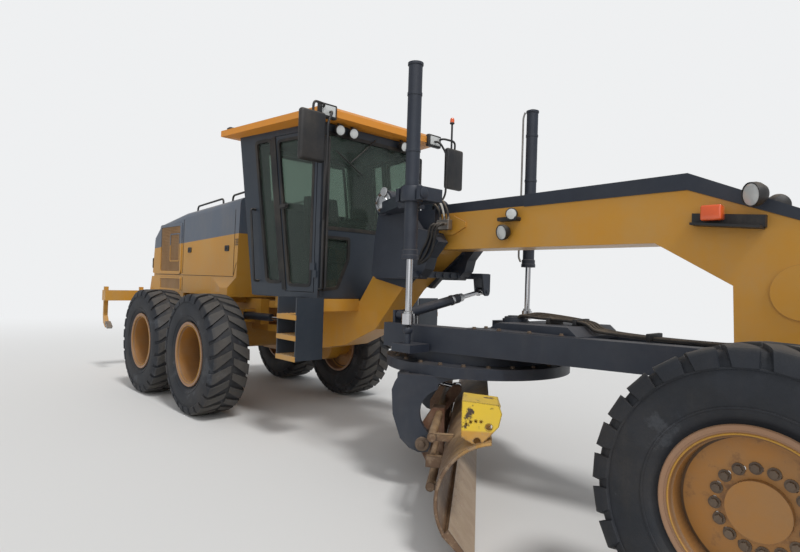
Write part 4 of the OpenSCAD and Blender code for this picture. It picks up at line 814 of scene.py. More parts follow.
def inset(points, d):
    """A convex outline moved inwards by d (outwards if negative)."""
    area = sum(a[0] * b[1] - b[0] * a[1] for a, b in zip(points, points[1:] + points[:1]))
    turn = 1 if area > 0 else -1
    lines = []
    for a, b in zip(points, points[1:] + points[:1]):
        run = hypot(b[0] - a[0], b[1] - a[1])
        nx, ny = -turn * (b[1] - a[1]) / run, turn * (b[0] - a[0]) / run
        lines.append((a[0] + nx * d, a[1] + ny * d, b[0] - a[0], b[1] - a[1]))
    moved = []
    for one, two in zip(lines[-1:] + lines[:-1], lines):
        cross = one[2] * two[3] - one[3] * two[2]
        t = ((two[0] - one[0]) * two[3] - (two[1] - one[1]) * two[2]) / cross
        moved.append((one[0] + one[2] * t, one[1] + one[3] * t))
    return moved


def rounded(points, r, steps=4):
    """A closed outline with its corners rounded."""
    run = []
    n = len(points)
    for i in range(n):
        corner = Vector(points[i])
        back, ahead = Vector(points[i - 1]) - corner, Vector(points[(i + 1) % n]) - corner
        reach = min(r, back.length * 0.45, ahead.length * 0.45)
        start, end = corner + back.normalized() * reach, corner + ahead.normalized() * reach
        for k in range(steps + 1):
            t = k / steps
            run.append(tuple(start * (1 - t) ** 2 + corner * 2 * t * (1 - t) + end * t * t))
    return run


def border(bm, points, width, depth, place, r=0.03):
    """A flat frame round an outline, with rounded corners."""
    outer, inner = rounded(points, r), rounded(inset(points, width), max(r - width, r * 0.4))
    loops = [[bm.verts.new(place(u, v, d)) for u, v in line] for line, d in
             ((outer, depth[0]), (outer, depth[1]), (inner, depth[1]), (inner, depth[0]))]
    for one, two in zip(loops, loops[1:] + loops[:1]):
        for i in range(len(outer)):
            j = (i + 1) % len(outer)
            bm.faces.new((one[i], one[j], two[j], two[i]))


def rect(u0, v0, u1, v1):
    """The four corners of an upright rectangle."""
    return [(u0, v0), (u1, v0), (u1, v1), (u0, v1)]


def span(side, near, far):
    """Two distances from the middle as Y on one side, the lower first."""
    return sorted((side * near, side * far))


def side_y(side):
    """Outline in X and Z on the left (1) or right (-1); the depth is counted from the middle outwards."""
    return lambda u, v, d: at(u, side * d, v)


def soft_box(bm, low, high, r=0.02):
    """A box with all of its edges rounded."""
    before = set(bm.verts)
    box(bm, low, high)
    fresh = [v for v in bm.verts if v not in before]
    edges = list({edge for v in fresh for edge in v.link_edges})
    bmesh.ops.bevel(bm, geom=edges, offset=r, segments=3, profile=0.5, affect="EDGES")


BOTH = (("left", 1), ("right", -1))


# -------------------- hood

# Half of the hood's width, and the radius of handrails and grab bars
HALF, RAIL_R = 0.635, 0.0125
SLAT = template(lambda bm: box(bm, (MID_X, -0.004, -0.006), (MID_X + 0.70, 0.004, 0.006)))


def grille(side_name, side):
    """Slats, frames and backing of the grille in one side of the hood."""
    spots = [((-1.70, side * (HALF + 0.0035), 1.60 + i * 0.0215), (0, 0, 1)) for i in range(30)]
    studs("Grille_slats_" + side_name, SLAT, spots, "rear", SCREEN, "body_paint")

    def frames(bm):
        border(bm, rect(-1.745, 1.545, -0.955, 2.262), 0.042, (HALF - 0.002, HALF + 0.014), side_y(side), 0.06)
        border(bm, rect(-1.36, 1.72, -1.02, 2.12), 0.016, (HALF + 0.006, HALF + 0.012), side_y(side), 0.03)
        border(bm, rect(-1.72, 1.315, -0.955, 1.50), 0.022, (HALF - 0.002, HALF + 0.010), side_y(side), 0.03)
    piece("Grille_frame_" + side_name, frames, "rear", HOOD_PAINT, "body_paint", 32)

    def back(bm):
        plate(bm, rounded(rect(-1.735, 1.555, -0.965, 2.252), 0.05), (HALF - 0.010, HALF + 0.0015), side_y(side))
        plate(bm, rounded(rect(-1.71, 1.325, -0.965, 1.49), 0.03), (HALF - 0.010, HALF + 0.003), side_y(side))
    piece("Grille_back_" + side_name, back, "rear", SCREEN, "body_paint", 32)


def hood_seams():
    """Lines between the hood's panels."""
    paths = []
    for side in (-1, 1):
        y = side * (HALF + 0.0006)
        paths += [[(-1.93, y, 1.534), (0.60, y, 1.534), (0.672, y, 1.70)],
                  [(-0.90, y, 1.56), (-0.90, y, 2.30)], [(0.60, y, 1.55), (0.615, y, 2.33)],
                  [(-0.90, y, 1.50), (-0.90, y, 1.30)]]
    piping("Hood_seams", paths, 0.0035, SEAL, 8, "rear")


def hood_fittings(bm):
    """Latches of the side panels, and the louvres ahead of them."""
    for side in (-1, 1):
        y = side * HALF
        for x, z in ((-0.68, 1.874), (0.42, 1.874)):
            plate(bm, rounded(rect(x - 0.055, z - 0.035, x + 0.055, z + 0.035), 0.015),
                  (HALF - 0.004, HALF + 0.008), side_y(side))
            rod(bm, (x - 0.02, y, z), (x - 0.02, y + side * 0.018, z), 0.013)
        for i in range(4):
            z = 1.905 + i * 0.022
            plate(bm, rect(0.635, z, 0.70, z + 0.009), (HALF - 0.003, HALF + 0.007), side_y(side))


def hood_rails():
    """Two handrails on each side of the hood's top."""
    paths = []
    for side in (-1, 1):
        y = side * 0.45
        for x0, x1 in ((-0.90, -0.10), (0.15, 0.60)):
            low0, low1 = (2.395 + (x + 0.87) * 0.055 for x in (x0, x1))
            paths.append(rounded_line([(x0, y, low0 - 0.02), (x0 + 0.01, y, low0 + 0.11),
                                       (x1 - 0.01, y, low1 + 0.11), (x1, y, low1 - 0.02)], 0.05))
    piping("Hood_handrails", paths, RAIL_R, BLACK, 12, "rear")


for side_name, side in BOTH:
    grille(side_name, side)
hood_seams()
piece("Hood_latches", hood_fittings, "rear", BLACK, "black_plastic", 35)
hood_rails()


def radiator_grille(bm):
    """Frame and bars over the radiator, and the frames of the tail lamps."""
    border(bm, rect(-0.52, 1.62, 0.52, 2.10), 0.035, (-2.048, -2.022), across, 0.05)
    for i in range(17):
        z = 1.665 + i * 0.024
        box(bm, (-2.040, -0.49, z), (-2.030, 0.49, z + 0.011))
    for side in (-1, 1):
        border(bm, rect(side * 0.59 - 0.05, 1.62, side * 0.59 + 0.05, 1.78), 0.012, (-2.052, -2.022), across, 0.02)


def tail_lamps(bm):
    """Orange-red lenses of the tail lamps."""
    for side in (-1, 1):
        soft_box(bm, (-2.045, side * 0.59 - 0.036, 1.635), (-2.022, side * 0.59 + 0.036, 1.765), 0.006)


piece("Radiator_grille", radiator_grille, "rear", BLACK, "black_plastic", 35)
piece("Tail_lamps", tail_lamps, "rear", AMBER, "black_plastic", 40)


# -------------------- cab

# Turn of the side walls towards the rear, and the heights of the cab's floor and ceiling
LEAN = radians(9.65)
LOW, CEILING = 1.355, 3.05


def wall(side):
    """A cab side wall: u back along it from the front post, v up, d inwards from its outer face."""
    def place(u, v, d):
        return at(2.38 - cos(LEAN) * u - sin(LEAN) * d, side * (0.66 + sin(LEAN) * u - cos(LEAN) * d), v)
    return place


def back_to(foot, head, z):
    """How far back a slanting edge lies at a height."""
    return foot + (head - foot) * (z - LOW) / (CEILING - LOW)


def quad(ahead, foot, head, edge, z0, z1):
    """A window's outline in a side wall; ahead(z) gives its front edge, and its rear edge slants."""
    return [(ahead(z0), z0), (back_to(foot, head, z0) + edge, z0),
            (back_to(foot, head, z1) + edge, z1), (ahead(z1), z1)]


# Rear edges of the door and of the side wall, at the floor and at the ceiling
DOOR_EDGE, WALL_EDGE = (0.45, 0.712), (0.974, 1.263)
DOOR_PANE = quad(lambda z: 0.1, *DOOR_EDGE, -0.0513, 1.465, 2.94)
SIDE_PANE = quad(lambda z: back_to(*DOOR_EDGE, z) + 0.05, *WALL_EDGE, -0.25, 1.49, 2.97)
FRONT_PANE = rect(-0.61, 2.03, 0.61, 2.96)


def cab_seals(bm):
    """Rubber round the fixed panes, and the strip behind each door."""
    for side in (-1, 1):
        border(bm, inset(SIDE_PANE, -0.012), 0.034, (-0.004, 0.022), wall(side), 0.07)
        low = [(0.61 * side, 1.95), (0.29 * side, 1.95), (0.29 * side, 1.74), (0.42 * side, 1.45),
               (0.61 * side, 1.43)]
        border(bm, inset(low, -0.010), 0.030, (2.352, 2.380), across, 0.035)
        # Strip that covers the door's rear edge
        strip = [(back_to(*DOOR_EDGE, z) + e, z) for z, e in
                 ((1.42, -0.022), (1.42, 0.034), (2.98, 0.034), (2.98, -0.022))]
        plate(bm, strip, (-0.010, -0.003), wall(side))
    border(bm, inset(FRONT_PANE, -0.012), 0.036, (2.352, 2.381), across, 0.06)
    border(bm, rect(-0.572, 2.288, 0.572, 2.952), 0.03, (0.0, 0.02),
           lambda u, v, d: at(1.416 - (v - LOW) * 0.168 - 0.02 - d, u, v), 0.05)


def door_trim(side_name, side):
    """Seal, handle and pull of one door."""
    place = wall(side)

    def seal(bm):
        border(bm, inset(DOOR_PANE, -0.010), 0.030, (-0.004, 0.022), place, 0.06)
    piece("Door_seal_" + side_name, seal, "door_" + side_name, SEAL, "black_plastic", 35)

    def handle(bm):
        base = back_to(*DOOR_EDGE, 2.26) - 0.028
        plate(bm, rounded(rect(base - 0.11, 2.235, base + 0.006, 2.285), 0.02), (-0.012, 0.002), place)
        plate(bm, rounded(rect(base - 0.10, 2.247, base - 0.02, 2.273), 0.01), (-0.034, -0.022), place)
        for u in (base - 0.092, base - 0.032):
            plate(bm, rect(u, 2.25, u + 0.012, 2.27), (-0.026, -0.008), place)
    piece("Door_handle_" + side_name, handle, "door_" + side_name, BLACK, "black_plastic", 35)
    pull = [back_out(place(0.135, z, d)) for z, d in ((1.62, 0.04), (1.62, 0.085), (2.35, 0.085), (2.35, 0.04))]
    piping("Door_pull_" + side_name, [rounded_line(pull, 0.03)], 0.011, BLACK, 10, "door_" + side_name)


piece("Cab_seals", cab_seals, "front", SEAL, "black_plastic", 35)
for side_name, side in BOTH:
    door_trim(side_name, side)


def grab_bars():
    """Two upright bars beside each front post, and one on each side wall."""
    paths = []
    for side in (-1, 1):
        for x, y in ((2.418, 0.60), (2.418, 0.645)):
            paths.append(rounded_line([(2.372, side * y, 1.44), (x, side * y, 1.44), (x, side * y, 2.90),
                                       (2.372, side * y, 2.90)], 0.03))
        place = wall(side)
        u = back_to(*WALL_EDGE, 1.7) - 0.16
        spots = ((u, 1.50, 0.0), (u, 1.50, -0.06), (u + 0.09, 2.25, -0.06), (u + 0.09, 2.25, 0.0))
        paths.append(rounded_line([back_out(place(*spot)) for spot in spots], 0.03))
    piping("Grab_bars", paths, RAIL_R, BLACK, 12, "front")


def wiper():
    """Wiper of the windshield: its arm and its blade."""
    paths = [[(2.372, 0.0, 2.99), (2.392, 0.0, 2.985), (2.392, -0.32, 2.70)],
             [(2.388, -0.50, 2.795), (2.388, -0.16, 2.60)]]
    piping("Wiper", paths, 0.006, BLACK, 8, "front")


grab_bars()
wiper()


def roof_lamps(bm):
    """Housings of the lamps at the roof's four corners."""
    for side in (-1, 1):
        soft_box(bm, (1.02, side * 0.93 - 0.05, 3.085), (1.10, side * 0.93 + 0.05, 3.16), 0.012)
        soft_box(bm, (2.505, side * 0.72 - 0.10, 3.03), (2.555, side * 0.72 + 0.10, 3.165), 0.012)


def roof_lenses(bm):
    """Panes of those lamps."""
    for side in (-1, 1):
        soft_box(bm, (2.552, side * 0.72 - 0.075, 3.05), (2.561, side * 0.72 + 0.075, 3.145), 0.004)
        soft_box(bm, (1.012, side * 0.93 - 0.036, 3.10), (1.024, side * 0.93 + 0.036, 3.148), 0.004)


piece("Roof_lamps", roof_lamps, "front", BLACK, "black_plastic", 40)
piece("Roof_lamp_lenses", roof_lenses, "front", LENS, "glass", 40)


# -------------------- lamps and mirrors, in place of the plain ones

# Low and high corners of the left mirror
MIRROR = ((2.600, 0.815, 2.58), (2.665, 1.085, 3.035))


def mirrors(bm):
    """Housings of the two mirrors."""
    low, high = MIRROR
    for side in (-1, 1):
        a, b = span(side, low[1], high[1])
        soft_box(bm, (low[0], a, low[2]), (high[0], b, high[2]), 0.028)


def mirror_glass(bm):
    """The mirrors' glass, which faces back."""
    low, high = MIRROR
    for side in (-1, 1):
        a, b = span(side, low[1], high[1])
        plate(bm, rounded(rect(a + 0.02, low[2] + 0.02, b - 0.02, high[2] - 0.02), 0.03),
              (low[0] - 0.002, low[0] + 0.01), across)


def mirror_tubes():
    """Bent tubes that hold each mirror, and the stay below it."""
    paths = []
    for side in (-1, 1):
        for r, line in ((0.05, ((2.515, 0.78, 3.11), (2.60, 0.79, 3.13), (2.645, 0.95, 3.12), (2.64, 0.95, 3.00))),
                        (0.06, ((2.515, 0.70, 3.09), (2.62, 0.72, 3.08), (2.66, 0.80, 2.95), (2.66, 0.80, 2.50),
                                (2.50, 0.70, 2.20), (2.38, 0.62, 2.06)))):
            paths.append(rounded_line([(x, side * y, z) for x, y, z in line], r))
    return paths


def work_light(bm, spot, way, r, depth):
    """Housing of a round lamp, its lens towards way."""
    a = Vector(spot)
    b = a + Vector(way).normalized() * depth
    turned(bm, [(0, r * 0.35), (depth * 0.12, r * 0.72), (depth * 0.45, r * 0.95), (depth * 0.62, r),
                (depth, r), (depth, r * 0.93), (depth * 0.93, r * 0.91)], a, b, 28)


def lamp_lens(bm, spot, way, r, depth):
    """Domed glass of a round lamp."""
    a = Vector(spot)
    b = a + Vector(way).normalized() * depth
    turned(bm, [(depth * 0.88, r * 0.9), (depth * 0.96, r * 0.88), (depth * 1.02, r * 0.6), (depth * 1.04, 0)],
           a, b, 28)


# Each lamp's place, the way it faces, its radius and its depth: two over the windshield, then nose and neck
CAB_LAMP_Y = (0.335, 0.50)
LAMPS = [((2.395, side * y, 2.99), (1, side * 0.12, -0.2), 0.052, 0.075) for side in (-1, 1) for y in CAB_LAMP_Y]
LAMPS += [((x, side * y, z), (ahead, side * out, up), r, depth)
          for (x, y, z), (ahead, out, up), r, depth in
          (((5.925, 0.205, 2.082), (-0.6, 0.8, -0.12), 0.068, 0.085),
           ((4.205, 0.168, 1.952), (-0.25, 1.0, -0.2), 0.060, 0.07),
           ((4.250, 0.165, 2.085), (0.35, 1.0, -0.1), 0.045, 0.06)) for side in (-1, 1)]


def lamp_housings(bm):
    """Round lamps, the bars that carry them and the lugs of the cab's lamps."""
    for lamp in LAMPS:
        work_light(bm, *lamp)
    for side in (-1, 1):
        # Bar along the neck under the nose lamps
        plate(bm, [(5.55, 1.935), (5.93, 1.90), (5.93, 1.968), (5.55, 2.00)], (0.1505, 0.19), side_y(side))
        plate(bm, [(5.56, 1.925), (5.92, 1.89), (5.92, 1.905), (5.56, 1.94)], (0.15, 0.255), side_y(side))
        plate(bm, rounded(rect(4.13, 2.03, 4.31, 2.06), 0.01), (0.15, 0.21), side_y(side))
        for y in CAB_LAMP_Y:
            box(bm, (2.41, side * y - 0.015, 2.99), (2.43, side * y + 0.015, 3.07))


def lamp_lenses(bm):
    """Glass of the round lamps."""
    for lamp in LAMPS:
        lamp_lens(bm, *lamp)


def turn_lenses(bm):
    """Orange lenses of the turn lamps on the nose."""
    for side in (-1, 1):
        a, b = span(side, 0.19, 0.262)
        soft_box(bm, (5.617, a, 1.945), (5.73, b, 2.035), 0.012)


piping("Mirror_tubes", mirror_tubes(), 0.0115, BLACK, 12, "front", replaces=("lamps_mirrors",))
piece("Mirrors", mirrors, "front", BLACK, "black_plastic", 40)
piece("Mirror_glass", mirror_glass, "front", CHROME, "chrome_rod", 40)
piece("Lamp_housings", lamp_housings, "front", BLACK, "black_plastic", 35)
piece("Lamp_lenses", lamp_lenses, "front", LENS, "glass", 40)
piece("Turn_lenses", turn_lenses, "front", AMBER, "glass", 40)


# Beacon on its pole over the left mirror

BEACON_X, BEACON_Y = 2.632, 0.905


def beacon_foot(bm):
    """Pole and foot of the beacon."""
    rod(bm, (BEACON_X, BEACON_Y, 3.02), (BEACON_X, BEACON_Y, 3.318), 0.011)
    turned_up(bm, [(0, 0.018), (0.006, 0.0268), (0.014, 0.0268), (0.018, 0.023)], (BEACON_X, BEACON_Y, 3.308), 28)


def beacon_dome(bm):
    """Dome of the beacon."""
    turned_up(bm, [(0, 0.0245), (0.030, 0.0245), (0.045, 0.021), (0.053, 0.012), (0.055, 0)],
              (BEACON_X, BEACON_Y, 3.3265), 28)


piece("Beacon_foot", beacon_foot, "front", BLACK, "black_plastic", 35)
piece("Beacon_dome", beacon_dome, "front", AMBER, "glass", 40)


# -------------------- cab steps

# Rear and front edges of the steps, their heights, and how far out their plates end
STEP = (2.135, 2.465)
STEP_HEIGHTS = (0.81, 1.00, 1.19)
STEP_LIP = 0.9385


def step_boards(bm):
    """Tread plates of the cab steps, each with a lip at its outer edge."""
    for side in (-1, 1):
        for z in STEP_HEIGHTS:
            a, b = span(side, 0.692, STEP_LIP)
            box(bm, (STEP[0] + 0.016, a, z + 0.0005), (STEP[1] - 0.016, b, z + 0.010))
            a, b = span(side, STEP_LIP, 0.9465)
            box(bm, (STEP[0], a, z - 0.036), (STEP[1], b, z + 0.010))


def grip(bm):
    """A raised ring of the step's grip."""
    turned(bm, [(0, 0.013), (0.005, 0.0105), (0.005, 0.0075), (0, 0.0065)], ORIGIN, ORIGIN_UP, 10, False)


def step_grips():
    """Rings on each tread plate, in five rows of six."""
    spots = [((STEP[0] + 0.05 + 0.046 * i, side * (0.725 + 0.046 * k), z + 0.010), (0, 0, 1))
             for side in (-1, 1) for z in STEP_HEIGHTS for i in range(6) for k in range(5)]
    studs("Step_grips", template(grip), spots, "front", TREAD, "cab_frame")


piece("Step_boards", step_boards, "front", TREAD, "cab_frame", 30, bevel=0.0015)
step_grips()


# -------------------- cab room

def steering_wheel(bm):
    """Rim, three spokes and hub, tilted towards the driver."""
    hub, way = Vector((2.075, 0, 2.065)), Vector((-0.55, 0, 0.83)).normalized()
    place, _ = frame_of(at(*hub), at(*(hub + way)))
    around, sides, grip_r = 48, 10, 0.014
    ring = []
    for i in range(around):
        a = 2 * pi * i / around
        ring.append([])
        for k in range(sides):
            b = 2 * pi * k / sides
            reach = 0.19 + grip_r * cos(b)
            ring[-1].append(bm.verts.new(place @ Vector((reach * cos(a), reach * sin(a), 0.03 + grip_r * sin(b)))))
    for one, two in zip(ring, ring[1:] + ring[:1]):
        for k in range(sides):
            j = (k + 1) % sides
            bm.faces.new((one[k], two[k], two[j], one[j]))
    turned(bm, [(0.0, 0.03), (0.02, 0.045), (0.036, 0.042), (0.04, 0.0)], hub, hub + way, 24)
    for turn in (0.5, 0.5 + 2 * pi / 3, 0.5 + 4 * pi / 3):
        out = back_out(place @ Vector((0.185 * cos(turn), 0.185 * sin(turn), 0.03)))
        rod(bm, tuple(hub + way * 0.025), tuple(out), 0.011, 10)


def levers(bm):
    """Two rows of control levers beside the steering column."""
    for side in (-1, 1):
        for i in range(5):
            foot = (2.20 - 0.012 * i, side * (0.135 + 0.045 * i), 1.93)
            head = (2.12 - 0.012 * i, side * (0.15 + 0.048 * i), 2.15)
            rod(bm, foot, head, 0.0055, 8)
            turned(bm, [(0, 0.006), (0.006, 0.014), (0.028, 0.016), (0.040, 0.010), (0.042, 0)],
                   head, (head[0] - 0.01, head[1], head[2] + 1), 12)
        a, b = span(side, 0.105, 0.36)
        soft_box(bm, (2.13, a, 1.86), (2.26, b, 1.94), 0.015)


piece("Steering_wheel", steering_wheel, "front", BLACK, "black_plastic", 40)
piece("Levers", levers, "front", BLACK, "black_plastic", 40)


def pad_shape(rows):
    """A closed block through rows of corner points, bottom to top."""
    bm = bmesh.new()
    rings = [[bm.verts.new(at(*spot)) for spot in row] for row in rows]
    for one, two in zip(rings, rings[1:]):
        for i in range(4):
            bm.faces.new((one[i], one[(i + 1) % 4], two[(i + 1) % 4], two[i]))
    bm.faces.new(rings[0][::-1])
    bm.faces.new(rings[-1])
    bmesh.ops.recalc_face_normals(bm, faces=bm.faces)
    bmesh.ops.bevel(bm, geom=list(bm.edges), offset=0.022, segments=3, profile=0.5, affect="EDGES")
    mesh = bpy.data.meshes.new("Pad")
    bm.to_mesh(mesh)
    bm.free()
    return mesh


# Frames of the cloth's simulation, and how far a point of a cushion may move in it
CLOTH_FRAMES, CAP = 20, 0.014


def pad(name, rows, fabric):
    """A cushion, blown up as cloth and then fixed."""
    thing = bpy.data.objects.new(name, pad_shape(rows))
    bpy.context.scene.collection.objects.link(thing)
    grid = thing.modifiers.new("Grid", "REMESH")
    grid.mode, grid.voxel_size = "VOXEL", 0.006
    bpy.context.view_layer.update()
    graph = bpy.context.evaluated_depsgraph_get()
    mesh = bpy.data.meshes.new_from_object(thing.evaluated_get(graph))
    thing.modifiers.clear()
    thing.data = mesh
    start = [v.co.copy() for v in mesh.vertices]
    cloth = thing.modifiers.new("Cloth", "CLOTH")
    cloth.settings.use_pressure = True
    cloth.settings.uniform_pressure_force = 4
    cloth.settings.effector_weights.gravity = 0
    scene = bpy.context.scene
    for moment in range(1, CLOTH_FRAMES + 1):
        scene.frame_set(moment)
    blown = bpy.data.meshes.new_from_object(thing.evaluated_get(bpy.context.evaluated_depsgraph_get()))
    for vert, before in zip(blown.vertices, start):
        move = vert.co - before
        if move.length > CAP:
            vert.co = before + move * (CAP / move.length)
    thing.modifiers.clear()
    thing.data = blown
    scene.frame_set(1)
    mesh = thing.data.copy()
    bpy.data.objects.remove(thing)
    done = mounted(name, mesh, "front", fabric, "black_plastic", 180)
    soft = done.modifiers.new("Soft", "SUBSURF")
    soft.levels = soft.render_levels = 1


CUSHION_CLOTH = finish("Cushion cloth", rgb(38, 39, 43), rgb(54, 54, 58), chips=0.0, scratches=0.0, sides=0.15,
                       low=0.1, tops=0.35, rough=0.85, grain=900.0, bump=0.5)


def ring_of(x0, x1, half, z):
    """Four corners of a cushion at a height."""
    return [(x0, -half, z), (x1, -half, z), (x1, half, z), (x0, half, z)]


pad("Driver_cushion", [ring_of(1.515, 1.985, 0.235, 1.785), ring_of(1.50, 1.99, 0.245, 1.835),
                       ring_of(1.52, 1.965, 0.225, 1.885)], CUSHION_CLOTH)
pad("Driver_backrest", [ring_of(1.465, 1.59, 0.225, 1.865), ring_of(1.43, 1.565, 0.235, 2.10),
                        ring_of(1.40, 1.51, 0.215, 2.36), ring_of(1.395, 1.475, 0.17, 2.485)], CUSHION_CLOTH)


# -------------------- saddle and drawbar

def shift_hanger(bm):
    """Fork that hangs from the crossbar over the eye of the centre-shift cylinder."""
    x, y, z = SHIFT_HEAD
    for low, high in ((-0.058, -0.038), (0.038, 0.058)):
        plate(bm, [(y - 0.075, 1.632), (y + 0.045, 1.632), (y + 0.045, z), (y + 0.038, z - 0.028),
                   (y + 0.018, z - 0.044), (y - 0.018, z - 0.044), (y - 0.038, z - 0.028), (y - 0.048, z)],
              (x + low, x + high), across)
    rod(bm, (x - 0.066, y, z), (x + 0.066, y, z), 0.0195, 20)


def saddle_caps(bm):
    """Turned covers on the saddle's round heads and on the pins of its collars."""
    for side in (-1, 1):
        turned(bm, [(-0.002, 0.098), (0.010, 0.098), (0.014, 0.094), (0.014, 0.062), (0.020, 0.058),
                    (0.034, 0.056), (0.038, 0.050), (0.038, 0)],
               (SADDLE_X, side * 0.385, SADDLE_Z), (SADDLE_X, side * 5, SADDLE_Z), 40)
        turned_out(bm, [(-0.002, 0.036), (0.008, 0.036), (0.012, 0.032), (0.012, 0)],
                   (3.56, side * 0.8885, 2.225), side, 24)


def valve_block(bm):
    """Block with three fittings to the right and three on top."""
    soft_box(bm, (3.53, -0.262, 1.985), (3.665, -0.206, 2.072), 0.006)
    for x in (3.555, 3.60, 3.645):
        turned_out(bm, [(0, 0.014), (0.022, 0.014), (0.024, 0.011), (0.034, 0.011)], (x, -0.262, 2.03), -1, 12)
        turned_up(bm, [(0, 0.012), (0.018, 0.012), (0.020, 0.009), (0.026, 0.009)], (x, -0.235, 2.072), 12)


def saddle_hoses():
    """Black hoses that loop from the valve block over the neck, and down behind the saddle."""
    runs = []
    for i in range(3):
        x = 3.555 + 0.045 * i
        runs.append(smooth_line([(x, -0.235, 2.095), (x - 0.02, -0.24, 2.16), (x - 0.10, -0.21, 2.215 + 0.012 * i),
                                 (x - 0.22, -0.10, 2.20 + 0.012 * i), (x - 0.30, -0.02 + 0.035 * i, 2.162),
                                 (x - 0.55, -0.02 + 0.035 * i, 2.155)]))
        runs.append(smooth_line([(x, -0.295, 2.03), (x, -0.325, 2.025), (x - 0.02, -0.345 - 0.006 * i, 1.99),
                                 (x - 0.05, -0.335 - 0.006 * i, 1.90), (x - 0.12, -0.335, 1.79 - 0.02 * i),
                                 (3.36 - 0.03 * i, -0.30, 1.66), (3.35 - 0.04 * i, -0.26, 1.645)]))
    return runs


def white_hose():
    """The pale hose that loops over the right of the saddle."""
    return [smooth_line([(3.60, -0.236, 2.094), (3.585, -0.27, 2.20), (3.50, -0.30, 2.30), (3.40, -0.31, 2.33),
                         (3.31, -0.33, 2.29), (3.27, -0.345, 2.20), (3.27, -0.340, 2.12)])]


piece("Shift_hanger", shift_hanger, "front", CHARCOAL, "charcoal_paint", 30, bevel=0.002)
piece("Saddle_caps", saddle_caps, "front", SILVER, "charcoal_paint", 35)
piece("Valve_block", valve_block, "front", STEEL, "charcoal_paint", 35)
piping("Saddle_hoses", saddle_hoses(), 0.0105, HOSE, 10, "front")
piping("White_hose", white_hose(), 0.0085, WHITE_HOSE, 10, "front")


def drawbar_hoses():
    """Hoses of the circle's motor, along the drawbar to its head."""
    runs = []
    for i, y in enumerate((-0.045, -0.015, 0.015, 0.045)):
        runs.append(smooth_line([(4.225, y, 1.262), (4.27, y, 1.30), (4.40, y * 1.3, 1.295 + 0.008 * i),
                                 (4.80, y * 1.5 - 0.02, 1.286), (4.93, y * 1.5 - 0.02, 1.235),
                                 (5.25, y + 0.02, 1.215), (5.60, y + 0.10, 1.207), (5.70, y + 0.10, 1.212)]))
    return runs


def hose_clamps(bm):
    """Clamps that hold the hoses on the drawbar."""
    for x, z, y in ((4.52, 1.2555, 0.0), (4.74, 1.258, -0.01), (5.25, 1.1985, 0.02)):
        soft_box(bm, (x, y - 0.10, z), (x + 0.03, y + 0.10, z + 0.05), 0.005)


def motor_cap(bm):
    """Round cover of the circle's motor."""
    turned_up(bm, [(-0.002, 0.085), (0.012, 0.085), (0.016, 0.080), (0.016, 0.060), (0.024, 0.056)],
              (4.18, 0, 1.27), 32)


piping("Drawbar_hoses", drawbar_hoses(), 0.0125, HOSE, 10, "drawbar")
piece("Hose_clamps", hose_clamps, "drawbar", BLACK, "black_plastic", 35)
piece("Motor_cap", motor_cap, "drawbar", CHARCOAL, "charcoal_paint", 35)
cover_bolts = [((x, side * y, 1.2055), (0, 0, 1)) for side in (-1, 1)
               for x, y in ((4.17, 0.50), (4.17, 0.36), (4.36, 0.455), (4.58, 0.40), (4.80, 0.35), (4.17, 0.21))]
studs("Cover_bolts", BOLT, cover_bolts, "drawbar", BOLT_STEEL, size=1.2)


# -------------------- circle and blade

# How far the circle stands turned at rest
BLADE_TURN = radians(38.5)


def in_circle_way(n, a, z):
    """A direction in the turned circle's own frame: n ahead, a to the left, z up."""
    return (n * cos(BLADE_TURN) - a * sin(BLADE_TURN), n * sin(BLADE_TURN) + a * cos(BLADE_TURN), z)


def in_circle(n, a, z):
    """A place in the turned circle's own frame."""
    x, y, z = in_circle_way(n, a, z)
    return (CIRCLE_X + x, y, z)


# Ends of the blade, half of its length each way from its middle
RIGHT_END, LEFT_END = 0.09 - 1.83, 0.09 + 1.83


def edge_spots():
    """Plough bolts along the cutting edge, in two rows."""
    spots = []
    count, margin = 24, 0.07
    for i in range(count):
        a = RIGHT_END + margin + i * (LEFT_END - RIGHT_END - 2 * margin) / (count - 1)
        for t in (0.66, 0.86):
            spots.append((in_circle(0.024 - 0.144 * t + 0.0004, a, 0.025 + 0.18 * t + 0.0003),
                          in_circle_way(0.78, 0, 0.62)))
    return spots


def plough_bolt(bm):
    """The low round head of a plough bolt."""
    turned(bm, [(0, 0.016), (0.003, 0.015), (0.0055, 0.009), (0.006, 0)], ORIGIN, ORIGIN_UP, 12, False)


def edge_strip(bm):
    """Worn bare strip of the cutting edge, in four lengths with gaps between them."""
    reach = (LEFT_END - RIGHT_END) / 4
    for k in range(4):
        a, b = RIGHT_END + k * reach + 0.002, RIGHT_END + (k + 1) * reach - 0.002
        corners = [(0.0242, 0.0265), (-0.119, 0.2045), (-0.1175, 0.2065), (0.0272, 0.0262)]
        plate(bm, corners, (a, b), lambda n, z, along: at(*in_circle(n, along, z)))


EDGE_STEEL = finish("Ground cutting edge", rgb(164, 142, 118), rgb(132, 104, 80), scale=9.0,
                    bare=rgb(190, 184, 176), chips=0.9, scratches=0.7, sides=0.35, low=0.5, rough=0.45,
                    bare_metal=0.6)
piece("Cutting_edge", edge_strip, "moldboard", EDGE_STEEL, "body_paint", 30)
studs("Edge_bolts", template(plough_bolt), edge_spots(), "moldboard", EDGE_STEEL, "body_paint")

circle_bolts = [(in_circle(0.69 * cos(t), 0.69 * sin(t), 0.9301), (0, 0, 1)) for t in
                [2 * pi * (i + 0.5) / 24 for i in range(24)]]
studs("Circle_bolts", BOLT, circle_bolts, "circle", BOLT_STEEL, size=1.3)


